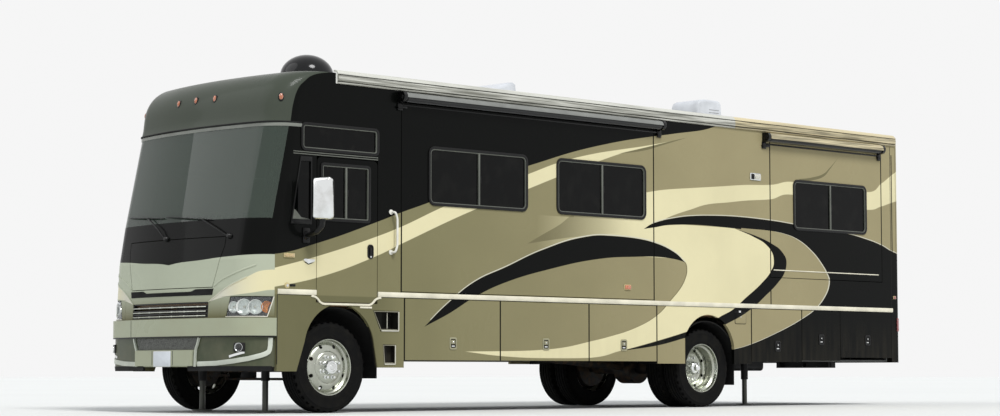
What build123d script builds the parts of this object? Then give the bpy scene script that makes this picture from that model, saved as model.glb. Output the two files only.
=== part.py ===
"""A class A motorhome, in millimetres.

+Z is up, the front faces -Y and the driver's side is +X. The origin is on the ground,
below the middle of the overall box. Heights are above the ground, and distances along
the body that are written as axle + n are measured back from the front axle.
"""

import os
from math import atan2, cos, degrees, radians, sin, sqrt

from build123d import *

os.makedirs("parts", exist_ok=True)

# Driving dimensions of the whole vehicle
half_width = 1285.0
axle = -4180.0
wheelbase = 5790.0
rear_axle_y = axle + wheelbase
rear_overhang = 3840.0
rear_cap_depth = 185.0
rear_end = rear_axle_y + rear_overhang
rear_seam = rear_end - rear_cap_depth
wall = 40.0
roof_edge_z = 3540.0
roof_under_z = 3430.0
roof_crown = 30.0
belt_z = 1213.0
skirt_z = 550.0
floor_top = 1165.0
floor_thick = 60.0
floor_under = floor_top - floor_thick
panel_gap = 8.0

# Front cap: how far ahead of the front axle the middle of the nose stands, by height
crown_radius = 5300.0
corner_radius = 320.0
bumper_top = 970.0
nose_profile = (  # height, distance from the front axle
    (bumper_top, -1235.0),
    (1565.0, -1205.0),
    (1985.0, -1135.0),
    (2975.0, -925.0),
)
glass_low = 1985.0
glass_high = 2975.0
glass_half = half_width - 17.0
glass_thick = 12.0
screen_lip = 50.0
screen_half = half_width - 95.0
brow_front = -945.0
brow_radius = 420.0
brow_start = roof_edge_z - brow_radius
brow_angles = (0.0, 28.0, 52.0, 72.0, 84.0)
cap_back = -20.0
seam_low = -770.0
seam_points = (  # distance from the front axle, height
    (-770.0, belt_z),
    (-700.0, 1985.0),
    (-500.0, 2990.0),
    (-465.0, 3150.0),
)
seam_arc_mid = (-330.0, 3430.0)

# Bumper
bumper_front = -1275.0
bumper_depth = 80.0
bumper_band_low = 785.0
bumper_low = 475.0
bumper_recess = 25.0
pod_half = 500.0
pod_low = 485.0
pod_high = 645.0

# Grille, hood and lamps
grille_half = 680.0
grille_low = 978.0
grille_high = 1138.0
grille_bar = 14.0
hood_top = 1798.0
hood_low = 1290.0
hood_top_half = 850.0
hood_low_half = 720.0
hood_thick = 20.0
lamp_inner = half_width - 425.0
lamp_low = 978.0
lamp_high = 1188.0
lamp_depth = wall
tail_lamp_proud = 5.0
tail_lamp_span = (half_width - 225.0, half_width - 85.0)
tail_lamp_rows = (960.0, 1140.0)
lamp_back = -800.0

# Wheels and axles
tyre_radius = 472.0
tyre_width = 235.0
sidewall = 170.0
rim_radius = tyre_radius - sidewall
rim_width = 210.0
wheel_z = tyre_radius
front_track_half = half_width - 215.0
rear_outer_half = half_width - 210.0
twin_pitch = 280.0
rear_inner_half = rear_outer_half - twin_pitch
kingpin_x = front_track_half - 180.0
kingpin_radius = 20.0
fit_gap = 0.05
spindle_radius = 38.0
arm_reach = 200.0
tie_z = wheel_z - 100.0

# Chassis
rail_out = 460.0
rail_in = 390.0
rail_low = 690.0
rail_high = 930.0
rail_web = 10.0
chassis_front = axle - 1190.0
chassis_rear = rear_end - 250.0

# Driver's door, its glass and the cab windows, measured back from the front axle
door_front = -260.0
door_rear = 550.0
door_low = 1145.0
door_high = 2645.0
door_glass = (-213.0, 445.0, 1990.0, 2582.0)
door_corner = 100.0
pane = 8.0
quarter_glass = ((-600.0, 1945.0), (-340.0, 1945.0), (-340.0, 2630.0), (-480.0, 2630.0))
transom_glass = (-470.0, 560.0, 2705.0, 2985.0)

# Slide-out rooms: front, rear, low, high, depth
front_room = (887.0, 4834.0, 1279.0, 3305.0, 840.0)
rear_room = (wheelbase + 1186.0, wheelbase + 3457.0, 1610.0, 3305.0, 700.0)
room_wall = 40.0
room_windows = {
    "front": ((1274.0, 2747.0), (3216.0, 4690.0)),
    "rear": ((wheelbase + 1640.0, wheelbase + 3130.0),),
}
window_low = 2225.0
window_high = 2855.0
topper_radius = 48.0
topper_x = half_width + 60.0
topper_z = 3360.0
front_topper = (800.0, 4980.0)
rear_topper = (wheelbase + 1010.0, wheelbase + 3460.0)

# Fixed panels round the rear wheels, then compartment doors: name, front, rear, low
rear_panel_front = wheelbase - 911.0
rear_panel_rear = wheelbase + 807.0
last_door_rear = wheelbase + 3650.0
left_doors = (
    ("left_bay_door_1", 930.0, 2334.0, 550.0),
    ("left_bay_door_2", 2334.0, 3734.0, 550.0),
    ("left_bay_door_3", 3734.0, rear_panel_front, 550.0),
    ("left_bay_door_4", rear_panel_rear, wheelbase + 1786.0, 550.0),
    ("left_bay_door_5", wheelbase + 1786.0, wheelbase + 2563.0, 570.0),
    ("left_bay_door_6", wheelbase + 2563.0, last_door_rear, 610.0),
)
right_doors = (
    ("right_bay_door_1", 1640.0, rear_panel_front, 550.0),
    ("right_bay_door_2", rear_panel_rear, last_door_rear, 570.0),
)
bay_door_thick = 30.0
bay_door_top = 1205.0
bay_inner = 625.0
bay_floor_z = 560.0
sheet = 20.0

# Entry door on the right side
entry_front = 800.0
entry_rear = 1500.0
entry_low = 620.0
entry_high = 2645.0
entry_glass = (920.0, 1380.0, 1900.0, 2450.0)
well_inner = half_width - 385.0
well_tread = 170.0
right_windows = ((2000.0, 3400.0), (4400.0, 5600.0), (wheelbase + 1410.0, wheelbase + 2510.0))

# Jacks
jack_x = 560.0
jack_places = (axle - 360.0, rear_axle_y + 1510.0)
jack_radius = 45.0
jack_rod = 32.0
jack_foot = 110.0
jack_foot_low = 8.0


def span(x, y, z, mode=Mode.ADD):
    """A box between two X, two Y and two Z values."""
    centre = tuple((a + b) / 2 for a, b in (x, y, z))
    size = [abs(b - a) for a, b in (x, y, z)]
    with Locations(centre):
        Box(*size, mode=mode)


def side_plane(x):
    """The plane at X = x whose own x runs back along the body and whose y runs up."""
    return Plane(origin=(x, axle, 0), x_dir=(0, 1, 0), z_dir=(1, 0, 0))


def window_shape(front, rear, low, high, corner=80.0):
    """A rounded rectangle in a side plane, between two distances and two heights."""
    with Locations(((front + rear) / 2, (low + high) / 2)):
        RectangleRounded(rear - front, high - low, corner)


def nose_outline(front, inset=0.0, back=cap_back, corner=corner_radius):
    """The plan shape of the nose: a crowned front, two round corners and straight sides."""
    half = half_width - inset
    corner = corner - inset
    crown = crown_radius - inset
    tip = axle + front + inset
    tail = axle + back
    across = half - corner
    middle = tip + crown
    corner_y = middle - sqrt((crown - corner) ** 2 - across**2)
    turn = atan2(across, middle - corner_y)
    join = (crown * sin(turn), middle - crown * cos(turn))
    half_turn = (radians(90) - turn) / 2 + turn
    bend = (across + corner * sin(half_turn), corner_y - corner * cos(half_turn))
    with BuildSketch() as outline:
        with BuildLine():
            ThreePointArc((-join[0], join[1]), (0, tip), join)
            ThreePointArc(join, bend, (half, corner_y))
            Polyline((half, corner_y), (half, tail), (-half, tail), (-half, corner_y))
            ThreePointArc((-half, corner_y), (-bend[0], bend[1]), (-join[0], join[1]))
        make_face()
    return outline.sketch


def nose(inset=0.0, low=0, high=3, back=cap_back):
    """The raked nose between two rows of its profile, with flat layers between rows."""
    with BuildPart() as layers:
        for z, front in nose_profile[low : high + 1]:
            with BuildSketch(Plane.XY.offset(z)):
                add(nose_outline(front, inset, back))
        loft(ruled=True)
    return layers.part


def nose_skin(outer, inner, low=0, high=3):
    """The layer of the nose between two insets from its outer face."""
    with BuildPart() as skin:
        add(nose(outer, low, high))
        add(nose(inner, low, high, cap_back + 10), mode=Mode.SUBTRACT)
    return skin.part


def brow(inset=0.0, back=cap_back):
    """The brow over the windscreen, which curls back into the roof."""
    radius = brow_radius - inset
    rows = [(glass_high, brow_front)]
    for angle in brow_angles:
        rise = radius * sin(radians(angle))
        reach = radius * cos(radians(angle)) + inset
        rows.append((brow_start + rise, brow_front + 35.0 + brow_radius - reach))
    with BuildPart() as curl:
        for z, front in rows:
            with BuildSketch(Plane.XY.offset(z)):
                add(nose_outline(front, inset, back))
        loft()
    return curl.part


def finish(part, name):
    """Names a finished piece and writes it."""
    part.part.label = name
    export_step(part.part, f"parts/{name}.step")


# Windscreen: a wrapped pane, flush with the nose
glass_layer = nose_skin(0.0, glass_thick, 2, 3)
with BuildPart() as windshield:
    add(glass_layer)
    span((-glass_half, glass_half), (axle - 1500, axle), (0, 4000), Mode.INTERSECT)
    span((-half_width, half_width), (axle - 450, axle + 100), (0, 4000), Mode.SUBTRACT)
finish(windshield, "windshield")

def hood_prism(gap):
    """A block ahead of the axle with the hood's outline, grown by a gap."""
    with BuildPart() as prism:
        with BuildSketch(Plane.XZ.offset(-axle + 800)):
            with BuildLine():
                Polyline(
                    (-hood_low_half - gap, hood_low - gap),
                    (hood_low_half + gap, hood_low - gap),
                    (hood_top_half + gap, hood_top - 90),
                    (hood_top_half + gap, hood_top + gap),
                    (-hood_top_half - gap, hood_top + gap),
                    (-hood_top_half - gap, hood_top - 90),
                    close=True,
                )
            make_face()
        extrude(amount=700)
    return prism.part


# Hood: the lid below the windscreen, hinged along its top edge
hood_skin = nose_skin(0.0, hood_thick, 0, 2)
hood_block = hood_prism(0.0)
hood_hole = hood_prism(panel_gap)
with BuildPart() as hood:
    add(hood_skin)
    add(hood_block, mode=Mode.INTERSECT)
finish(hood, "hood")

# Grille: a curved frame with bars
grille_skin = nose_skin(6.0, 34.0, 0, 1)
with BuildPart() as grille:
    add(grille_skin)
    span((-grille_half, grille_half), (axle - 1500, axle - 800), (grille_low, grille_high), Mode.INTERSECT)
    slot = (grille_high - grille_low - 5 * grille_bar) / 4
    for row in range(4):
        z = grille_low + grille_bar + row * (slot + grille_bar)
        span((-grille_half + 20, grille_half - 20), (axle - 1500, axle - 800), (z, z + slot), Mode.SUBTRACT)
finish(grille, "grille")

# Lamps: two headlamps in the nose and two tail lamps on the rear cap
lamp_skin = nose_skin(0.0, lamp_depth, 0, 1)
with BuildPart() as headlamps:
    add(lamp_skin)
    span((lamp_inner, half_width), (axle - 1500, axle + lamp_back), (lamp_low, lamp_high), Mode.INTERSECT)
with BuildPart() as lamps:
    add(headlamps.part)
    mirror(headlamps.part, about=Plane.YZ)
    for side in (-1, 1):
        tail_x = [side * x for x in tail_lamp_span]
        span(tail_x, (rear_end - 20, rear_end + tail_lamp_proud), tail_lamp_rows)
finish(lamps, "lamps")

# Front cap
cap_outer = (nose(), brow())
cap_inner = (nose(wall, back=cap_back + 10), brow(wall, cap_back + 10))
with BuildPart() as front_cap:
    add(cap_outer)
    add(cap_inner, mode=Mode.SUBTRACT)
    # The side walls take over behind the seam
    for side in (-1, 1):
        with BuildSketch(side_plane(side * (half_width + 1))):
            with BuildLine():
                Polyline(*seam_points)
                ThreePointArc(seam_points[-1], seam_arc_mid, (cap_back, roof_edge_z))
                Polyline((cap_back, roof_edge_z), (cap_back + 50, 3600), (cap_back + 50, 900))
                Polyline((cap_back + 50, 900), (seam_low, 900), (seam_low, belt_z))
            make_face()
        extrude(amount=-side * (wall + 1), mode=Mode.SUBTRACT)
    add(windshield.part, mode=Mode.SUBTRACT)
    span(
        (-screen_half, screen_half),
        (axle - 1500, axle - 600),
        (glass_low + screen_lip, glass_high - screen_lip),
        Mode.SUBTRACT,
    )
    add(hood_hole, mode=Mode.SUBTRACT)
    span((-grille_half, grille_half), (axle - 1500, axle - 900), (grille_low, grille_high), Mode.SUBTRACT)
    for side in (-1, 1):
        span(
            (side * lamp_inner, side * (half_width + 10)),
            (axle - 1500, axle + lamp_back),
            (lamp_low, lamp_high),
            Mode.SUBTRACT,
        )
finish(front_cap, "front_cap")

# Front bumper
with BuildPart() as front_bumper:
    for low, high, recess in (
        (bumper_band_low, bumper_top, 0.0),
        (bumper_low, bumper_band_low, bumper_recess),
    ):
        with BuildSketch(Plane.XY.offset(low)):
            add(nose_outline(bumper_front, recess, seam_low))
        extrude(amount=high - low)
    with BuildSketch(Plane.XY.offset(bumper_low)):
        add(nose_outline(bumper_front, bumper_depth, seam_low + 10))
    extrude(amount=bumper_top - bumper_low, mode=Mode.SUBTRACT)
    span((-pod_half, pod_half), (axle + bumper_front, axle + bumper_front + 60), (pod_low, pod_high))
finish(front_bumper, "front_bumper")

# Walls: the left one, then the right one, cut for what they hold
wall_openings = {
    "left": (
        (door_front - panel_gap, door_rear + panel_gap, belt_z - 50, door_high + panel_gap),
        (front_room[0] - panel_gap, front_room[1] + panel_gap, front_room[2] - panel_gap, front_room[3] + panel_gap),
        (rear_room[0] - panel_gap, rear_room[1] + panel_gap, rear_room[2] - panel_gap, rear_room[3] + panel_gap),
    ),
    "right": ((entry_front - panel_gap, entry_rear + panel_gap, belt_z - 50, entry_high + panel_gap),),
}


def wall_sheet(side, openings, windows):
    """A side wall from the belt to the roof, with its openings and windows."""
    with BuildPart() as sheet_part:
        with BuildSketch(side_plane(side * half_width)):
            with BuildLine():
                Polyline(*seam_points)
                ThreePointArc(seam_points[-1], seam_arc_mid, (cap_back, roof_edge_z))
                Polyline((cap_back, roof_edge_z), (cap_back, roof_under_z), (rear_seam - axle, roof_under_z))
                Polyline((rear_seam - axle, roof_under_z), (rear_seam - axle, belt_z), seam_points[0])
            make_face()
            for front, rear, low, high in openings:
                with Locations(((front + rear) / 2, (low + high) / 2)):
                    Rectangle(rear - front, high - low, mode=Mode.SUBTRACT)
            with BuildLine():
                Polyline(*quarter_glass, close=True)
            make_face(mode=Mode.SUBTRACT)
            for front, rear, low, high in windows:
                with Locations(((front + rear) / 2, (low + high) / 2)):
                    RectangleRounded(rear - front, high - low, 60, mode=Mode.SUBTRACT)
        extrude(amount=-side * wall)
    return sheet_part.part


right_window_places = [(front, rear, window_low, window_high) for front, rear in right_windows]
cab_window = (-300.0, 560.0, 1945.0, 2630.0)
left_sheet = wall_sheet(1, wall_openings["left"], [transom_glass])
right_sheet = wall_sheet(-1, wall_openings["right"], [transom_glass, cab_window] + right_window_places)
with BuildPart() as left_wall:
    add(left_sheet)
finish(left_wall, "left_wall")
with BuildPart() as right_wall:
    add(right_sheet)
finish(right_wall, "right_wall")

# Fixed glass in the side walls
with BuildPart() as side_windows:
    for side in (-1, 1):
        with BuildSketch(side_plane(side * (half_width - 10))):
            with BuildLine():
                Polyline(*quarter_glass, close=True)
            make_face()
            places = [transom_glass]
            if side < 0:
                places = [transom_glass, cab_window] + right_window_places
            for front, rear, low, high in places:
                window_shape(front, rear, low, high, 60)
        extrude(amount=-side * pane)
finish(side_windows, "side_windows")

# Skirts below the belt
front_arch = ((-516.0, 415.0), (-410.0, 740.0), (0.0, 1121.0), (510.0, 735.0), (560.0, 469.0))
rear_arch = (
    (wheelbase - 416.0, 524.0),
    (wheelbase - 416.0, 850.0),
    (wheelbase + 30.0, 1117.0),
    (wheelbase + 478.0, 745.0),
    (wheelbase + 478.0, 524.0),
)
step_panel_low = 469.0
front_skirt_low = 429.0


def skirt(side, front_end):
    """The fixed panels below the belt: round the front wheel, then round the rear wheel."""
    panel_front = rear_panel_front + panel_gap / 2
    panel_rear = rear_panel_rear - panel_gap / 2
    with BuildPart() as panels:
        with BuildSketch(side_plane(side * half_width)):
            with BuildLine():
                Polyline((seam_low, belt_z), (seam_low, front_skirt_low), (front_arch[0][0], front_skirt_low), front_arch[1])
                ThreePointArc(front_arch[1], front_arch[2], front_arch[3])
                Polyline(
                    front_arch[3],
                    (front_arch[4][0], step_panel_low),
                    (front_end, step_panel_low),
                    (front_end, belt_z),
                    (seam_low, belt_z),
                )
            make_face()
            with BuildLine():
                Polyline((panel_front, belt_z), (panel_front, skirt_z - 26), rear_arch[0], rear_arch[1])
                ThreePointArc(rear_arch[1], rear_arch[2], rear_arch[3])
                Polyline(
                    rear_arch[3],
                    rear_arch[4],
                    (panel_rear, skirt_z - 26),
                    (panel_rear, belt_z),
                    (panel_front, belt_z),
                )
            make_face()
        extrude(amount=-side * wall)
    return panels.part


left_panels = skirt(1, left_doors[0][1] - panel_gap / 2)
right_panels = skirt(-1, right_doors[0][1] - panel_gap)

# Step wells behind the front wheel: outline, depth
step_wells = (
    (((600.0, 850.0), (860.0, 850.0), (860.0, 1069.0), (500.0, 1069.0)), 150.0),
    (((650.0, 498.0), (813.0, 498.0), (813.0, 713.0), (635.0, 713.0)), 80.0),
)
well_wall = 12.0
step_slot = (495.0, 545.0)
with BuildPart() as skirts:
    add((left_panels, right_panels))
    for outline, depth in step_wells:
        with BuildSketch(side_plane(half_width - depth)):
            with BuildLine():
                Polyline(*outline, close=True)
            make_face()
            offset(amount=well_wall)
        extrude(amount=depth - wall / 2)
        with BuildSketch(side_plane(half_width + 1)):
            with BuildLine():
                Polyline(*outline, close=True)
            make_face()
        extrude(amount=-(depth + 1 - well_wall), mode=Mode.SUBTRACT)
    span(
        (half_width - wall, half_width),
        (axle + door_front - panel_gap, axle + door_rear + panel_gap),
        (door_low - panel_gap, belt_z),
        Mode.SUBTRACT,
    )
    span(
        (-half_width, wall - half_width),
        (axle + entry_front - panel_gap, axle + entry_rear + panel_gap),
        (entry_low - panel_gap, belt_z),
        Mode.SUBTRACT,
    )
    span(
        (-half_width, wall - half_width),
        (axle + entry_front + 20, axle + entry_rear - 20),
        step_slot,
        Mode.SUBTRACT,
    )
finish(skirts, "skirts")

# Roof with a slight crown
with BuildPart() as roof:
    with BuildSketch(Plane.XZ.offset(-(axle + cap_back))):
        with BuildLine():
            ThreePointArc((-half_width, roof_edge_z), (0, roof_edge_z + roof_crown), (half_width, roof_edge_z))
            Polyline(
                (half_width, roof_edge_z),
                (half_width, roof_under_z),
                (-half_width, roof_under_z),
                (-half_width, roof_edge_z),
            )
        make_face()
    extrude(amount=-(rear_seam - axle - cap_back))
finish(roof, "roof")

# Rear cap
rear_low = skirt_z
rear_corner = 70.0


def rear_shell(inset, front):
    """The rear cap's block from its seam back, in from its outer faces by an inset."""
    half = half_width - inset
    back = rear_end - inset
    corner = rear_corner - inset
    with BuildPart() as shell:
        with BuildSketch(Plane.XY.offset(rear_low)):
            with BuildLine():
                Polyline((half, back - corner), (half, front), (-half, front), (-half, back - corner))
                RadiusArc((half, back - corner), (half - corner, back), -corner)
                Line((half - corner, back), (-half + corner, back))
                RadiusArc((-half + corner, back), (-half, back - corner), -corner)
            make_face()
        extrude(amount=roof_edge_z - inset - rear_low)
    return shell.part


rear_outer = rear_shell(0.0, rear_seam)
rear_inner = rear_shell(wall, rear_seam - 10)
with BuildPart() as rear_cap:
    add(rear_outer)
    add(rear_inner, mode=Mode.SUBTRACT)
    for side in (-1, 1):
        tail_x = [side * x for x in tail_lamp_span]
        span(tail_x, (rear_end - 20, rear_end + tail_lamp_proud), tail_lamp_rows, Mode.SUBTRACT)
finish(rear_cap, "rear_cap")

# Floor with openings for the engine and the entry well
engine_half = 330.0
engine_front = axle - 950.0
engine_rear = axle + 150.0
with BuildPart() as floor_tail:
    add(rear_inner)
    span((-half_width, half_width), (rear_seam - 10, rear_end), (floor_under, floor_top), Mode.INTERSECT)
with BuildPart() as floor:
    with BuildSketch(Plane.XY.offset(floor_under)):
        add(nose_outline(-1215.0, wall, 100))
    extrude(amount=floor_thick)
    span((-half_width + wall, half_width - wall), (axle, rear_seam - 10), (floor_under, floor_top))
    add(floor_tail.part)
    span((-engine_half, engine_half), (engine_front, engine_rear), (floor_under, floor_top), Mode.SUBTRACT)
    entry_span = (axle + entry_front, axle + entry_rear)
    span((-half_width + wall, -well_inner), entry_span, (floor_under, floor_top), Mode.SUBTRACT)
finish(floor, "floor")

# Entry well: two sides, an inner riser, a tread and the bottom, with rails for the step
well_low = 600.0
tread_z = 895.0
tread_x = well_inner + well_tread
with BuildPart() as entry_well:
    for y in (entry_span[0] - sheet / 2, entry_span[1] + sheet / 2):
        span((-half_width + wall, -well_inner + sheet), (y - sheet / 2, y + sheet / 2), (well_low, floor_under))
    span((-well_inner, -well_inner + sheet), entry_span, (well_low, floor_under))
    span((-half_width + wall, -well_inner), entry_span, (well_low, well_low + sheet))
    span((-tread_x, -well_inner), entry_span, (tread_z - sheet, tread_z))
    span((-tread_x, -tread_x + sheet), entry_span, (well_low, tread_z))
    for y in (entry_span[0] + 20, entry_span[1] - 20):
        span((-half_width + wall, -well_inner), (y - 8, y + 8), (490, well_low))
finish(entry_well, "entry_well")

# Pull-out step under the entry door
with BuildPart() as entry_step:
    span(
        (-half_width + wall + 10, -well_inner - 40),
        (entry_span[0] + 36, entry_span[1] - 36),
        (505, 535),
    )
finish(entry_step, "entry_step")

# Storage bays on both sides of the frame
bay_inset = 30.0
bay_ends = (rear_panel_front - bay_inset, rear_panel_rear + bay_inset, last_door_rear - 40.0)
left_bays = (
    (left_doors[0][1] + bay_inset, bay_ends[0], (left_doors[1][1], left_doors[2][1])),
    (bay_ends[1], bay_ends[2], (left_doors[4][1], left_doors[5][1])),
)
right_bays = (
    (right_doors[0][1] + 20.0, bay_ends[0], (3250.0,)),
    (bay_ends[1], bay_ends[2], (wheelbase + 2210.0,)),
)
with BuildPart() as basement_bays:
    for side, bays in ((1, left_bays), (-1, right_bays)):
        outer = side * (half_width - bay_door_thick - 20)
        inner = side * bay_inner
        for front, rear, partitions in bays:
            span((inner, outer), (axle + front, axle + rear), (bay_floor_z, bay_floor_z + sheet))
            span((inner, inner + side * sheet), (axle + front, axle + rear), (bay_floor_z, floor_under))
            for y in (front + sheet / 2, rear - sheet / 2) + partitions:
                span((inner, outer), (axle + y - sheet / 2, axle + y + sheet / 2), (bay_floor_z, floor_under))
finish(basement_bays, "basement_bays")

# Wheel liners and mud flaps
with BuildPart() as wheel_liners:
    for side in (-1, 1):
        for centre, inner_x, radius, flap_low in (
            (axle, front_track_half - 370.0, tyre_radius + 140.0, 355.0),
            (rear_axle_y, rear_inner_half - 145.0, tyre_radius + 88.0, 265.0),
        ):
            plane = Plane(origin=(side * inner_x, centre, wheel_z), x_dir=(0, 1, 0), z_dir=(1, 0, 0))
            with BuildSketch(plane):
                Circle(radius + 12)
                Circle(radius, mode=Mode.SUBTRACT)
                with Locations((0, -radius)):
                    Rectangle(3 * radius, 2 * radius + 100, mode=Mode.SUBTRACT)
            extrude(amount=side * (half_width - wall - inner_x))
            span(
                (side * (half_width - 385), side * (half_width - 85)),
                (centre + radius, centre + radius + 12),
                (flap_low, wheel_z + 60),
            )
finish(wheel_liners, "wheel_liners")

# Ladder frame
with BuildPart() as chassis_frame:
    for side in (-1, 1):
        rail_y = (chassis_front, chassis_rear)
        span((side * rail_in, side * rail_out), rail_y, (rail_low, rail_high))
        span(
            (side * rail_in, side * (rail_out - rail_web)),
            rail_y,
            (rail_low + rail_web, rail_high - rail_web),
            Mode.SUBTRACT,
        )
        span((side * 400, side * 450), (axle + 250, chassis_rear), (rail_high, floor_under))
    front_members = [axle + y for y in (-1150.0, 700.0, 2100.0, 3500.0)]
    rear_members = [rear_axle_y + y for y in (-890.0, 910.0, 2210.0, 3550.0)]
    for y in front_members + rear_members:
        span((-rail_in - 60, rail_in + 60), (y - 40, y + 40), (rail_low + 40, rail_high - 40))
    for y in jack_places:
        for side in (-1, 1):
            with Locations(Location((side * jack_x, y, 330))):
                Cylinder(jack_radius, 570, align=(Align.CENTER, Align.CENTER, Align.MIN))
            span((side * rail_out, side * (jack_x - 20)), (y - 60, y + 60), (720, 880))
            with Locations(Location((side * jack_x, y, 330))):
                Cylinder(
                    jack_rod + 3, 550, align=(Align.CENTER, Align.CENTER, Align.MIN), mode=Mode.SUBTRACT
                )
    add(front_bumper.part, mode=Mode.SUBTRACT)
finish(chassis_frame, "chassis_frame")

# Jack legs, let down
with BuildPart() as jack_legs:
    for y in jack_places:
        for side in (-1, 1):
            with Locations(Location((side * jack_x, y, jack_foot_low))):
                Cylinder(jack_foot, 14, align=(Align.CENTER, Align.CENTER, Align.MIN))
                Cylinder(jack_rod, 560, align=(Align.CENTER, Align.CENTER, Align.MIN))
finish(jack_legs, "jack_legs")

# Engine and gearbox, as one plain block
gearbox_rear = 655.0
shaft_z = 640.0
shaft_bend = axle + 3600.0
shaft_radius = 45.0
with BuildPart() as engine_block:
    span((-300, 300), (engine_front + 50, engine_rear - 50), (620, 1420))
    span((-150, 150), (engine_rear - 50, axle + gearbox_rear), (shaft_z - 95, 800))
finish(engine_block, "engine_block")

# Fuel tank between the rails behind the rear axle
with BuildPart() as fuel_tank:
    span((-370, 370), (rear_axle_y + 1110, rear_axle_y + 2110), (440, 700))
    fillet(fuel_tank.edges().filter_by(Axis.Y), 50)
finish(fuel_tank, "fuel_tank")

# Front axle with its king pins
boss = 55.0
front_seat = 30.0
rear_tube = 70.0
rear_stub = 50.0
with BuildPart() as front_axle:
    span((-kingpin_x, kingpin_x), (axle - 40, axle + 40), (wheel_z - 50, wheel_z + front_seat))
    for side in (-1, 1):
        with Locations((side * kingpin_x, axle, wheel_z)):
            Cylinder(48, 2 * boss)
            Cylinder(kingpin_radius, 250)
finish(front_axle, "front_axle")

# Steering knuckles
for side, name in ((1, "left_knuckle"), (-1, "right_knuckle")):
    with BuildPart() as knuckle:
        for low, high in ((boss + 6, boss + 46), (-boss - 46, -boss - 6)):
            span(
                (side * (kingpin_x - 45), side * (kingpin_x + 75)),
                (axle - 45, axle + 45),
                (wheel_z + low, wheel_z + high),
            )
        span(
            (side * (kingpin_x + 55), side * (kingpin_x + 75)),
            (axle - 45, axle + 45),
            (wheel_z - boss - 46, wheel_z + boss + 46),
        )
        with Locations(Location((side * (kingpin_x + 140), axle, wheel_z), (0, 90, 0))):
            Cylinder(spindle_radius, 150)
        # Steering arm with its pin
        span(
            (side * (kingpin_x - 30), side * (kingpin_x + 30)),
            (axle + 40, axle + arm_reach + 25),
            (wheel_z - boss - 46, wheel_z - boss - 20),
        )
        with Locations((side * kingpin_x, axle + arm_reach, tie_z - 10)):
            Cylinder(12, 60)
        with Locations((side * kingpin_x, axle, wheel_z)):
            Cylinder(kingpin_radius + fit_gap, 300, mode=Mode.SUBTRACT)
    finish(knuckle, name)

# Tie rod
with BuildPart() as tie_rod:
    with Locations(Location((0, axle + arm_reach, tie_z - 25), (0, 90, 0))):
        Cylinder(14, 2 * kingpin_x)
    for side in (-1, 1):
        with Locations((side * kingpin_x, axle + arm_reach, tie_z - 25)):
            Cylinder(28, 30)
            Cylinder(12 + (fit_gap if side > 0 else 3), 60, mode=Mode.SUBTRACT)
finish(tie_rod, "tie_rod")

# Rear axle with its drive shaft
with BuildPart() as rear_axle:
    with Locations(Location((0, rear_axle_y, wheel_z), (0, 90, 0))):
        Cylinder(rear_tube, 2 * (rear_inner_half - 175))
        Cylinder(rear_stub, 2 * (rear_outer_half - 35))
        Cylinder(190, 260)
    with BuildSketch(Plane.XZ.offset(-shaft_bend)):
        with Locations((0, shaft_z)):
            Circle(shaft_radius)
    extrude(amount=shaft_bend - (axle + gearbox_rear))
    with Locations((0, shaft_bend, shaft_z)):
        Sphere(shaft_radius + 6)
    shaft_run, shaft_drop = rear_axle_y - shaft_bend, shaft_z - wheel_z
    shaft_middle = (0, shaft_bend + shaft_run / 2, shaft_z - shaft_drop / 2)
    shaft_tilt = -90.0 - degrees(atan2(shaft_drop, shaft_run))
    with Locations(Location(shaft_middle, (shaft_tilt, 0, 0))):
        Cylinder(shaft_radius, sqrt(shaft_run**2 + shaft_drop**2))
finish(rear_axle, "rear_axle")

# Leaf springs
with BuildPart() as leaf_springs:
    for side in (-1, 1):
        for centre, x, seat in ((axle, 425.0, front_seat), (rear_axle_y, 560.0, rear_tube)):
            with BuildSketch(Plane(origin=(side * x, centre, 0), x_dir=(0, 1, 0), z_dir=(1, 0, 0))):
                with BuildLine():
                    ThreePointArc((-700, rail_low - 8), (0, wheel_z + seat + 48), (700, rail_low - 8))
                    Line((700, rail_low - 8), (700, rail_low - 58))
                    ThreePointArc((700, rail_low - 58), (0, wheel_z + seat), (-700, rail_low - 58))
                    Line((-700, rail_low - 58), (-700, rail_low - 8))
                make_face()
            extrude(amount=38, both=True)
finish(leaf_springs, "leaf_springs")


# Wheels
def wheel_plane(x, side, y):
    """The plane through the axle whose own x points outboard and whose y points up."""
    return Plane(origin=(x, y, wheel_z), x_dir=(side, 0, 0), z_dir=(0, -side, 0))


def tyre(x, side, y):
    """A tyre round an axle along X."""
    half = tyre_width / 2
    bulge = rim_radius + sidewall / 2
    with BuildPart() as ring:
        with BuildSketch(wheel_plane(x, side, y)):
            with BuildLine():
                Polyline((-half + 20, rim_radius), (half - 20, rim_radius))
                ThreePointArc((half - 20, rim_radius), (half, bulge), (half - 22, tyre_radius - 12))
                Polyline(
                    (half - 22, tyre_radius - 12),
                    (half - 40, tyre_radius),
                    (-half + 40, tyre_radius),
                    (-half + 22, tyre_radius - 12),
                )
                ThreePointArc((-half + 22, tyre_radius - 12), (-half, bulge), (-half + 20, rim_radius))
            make_face()
        revolve(axis=Axis((x, y, wheel_z), (1, 0, 0)))
    return ring.part


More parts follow.
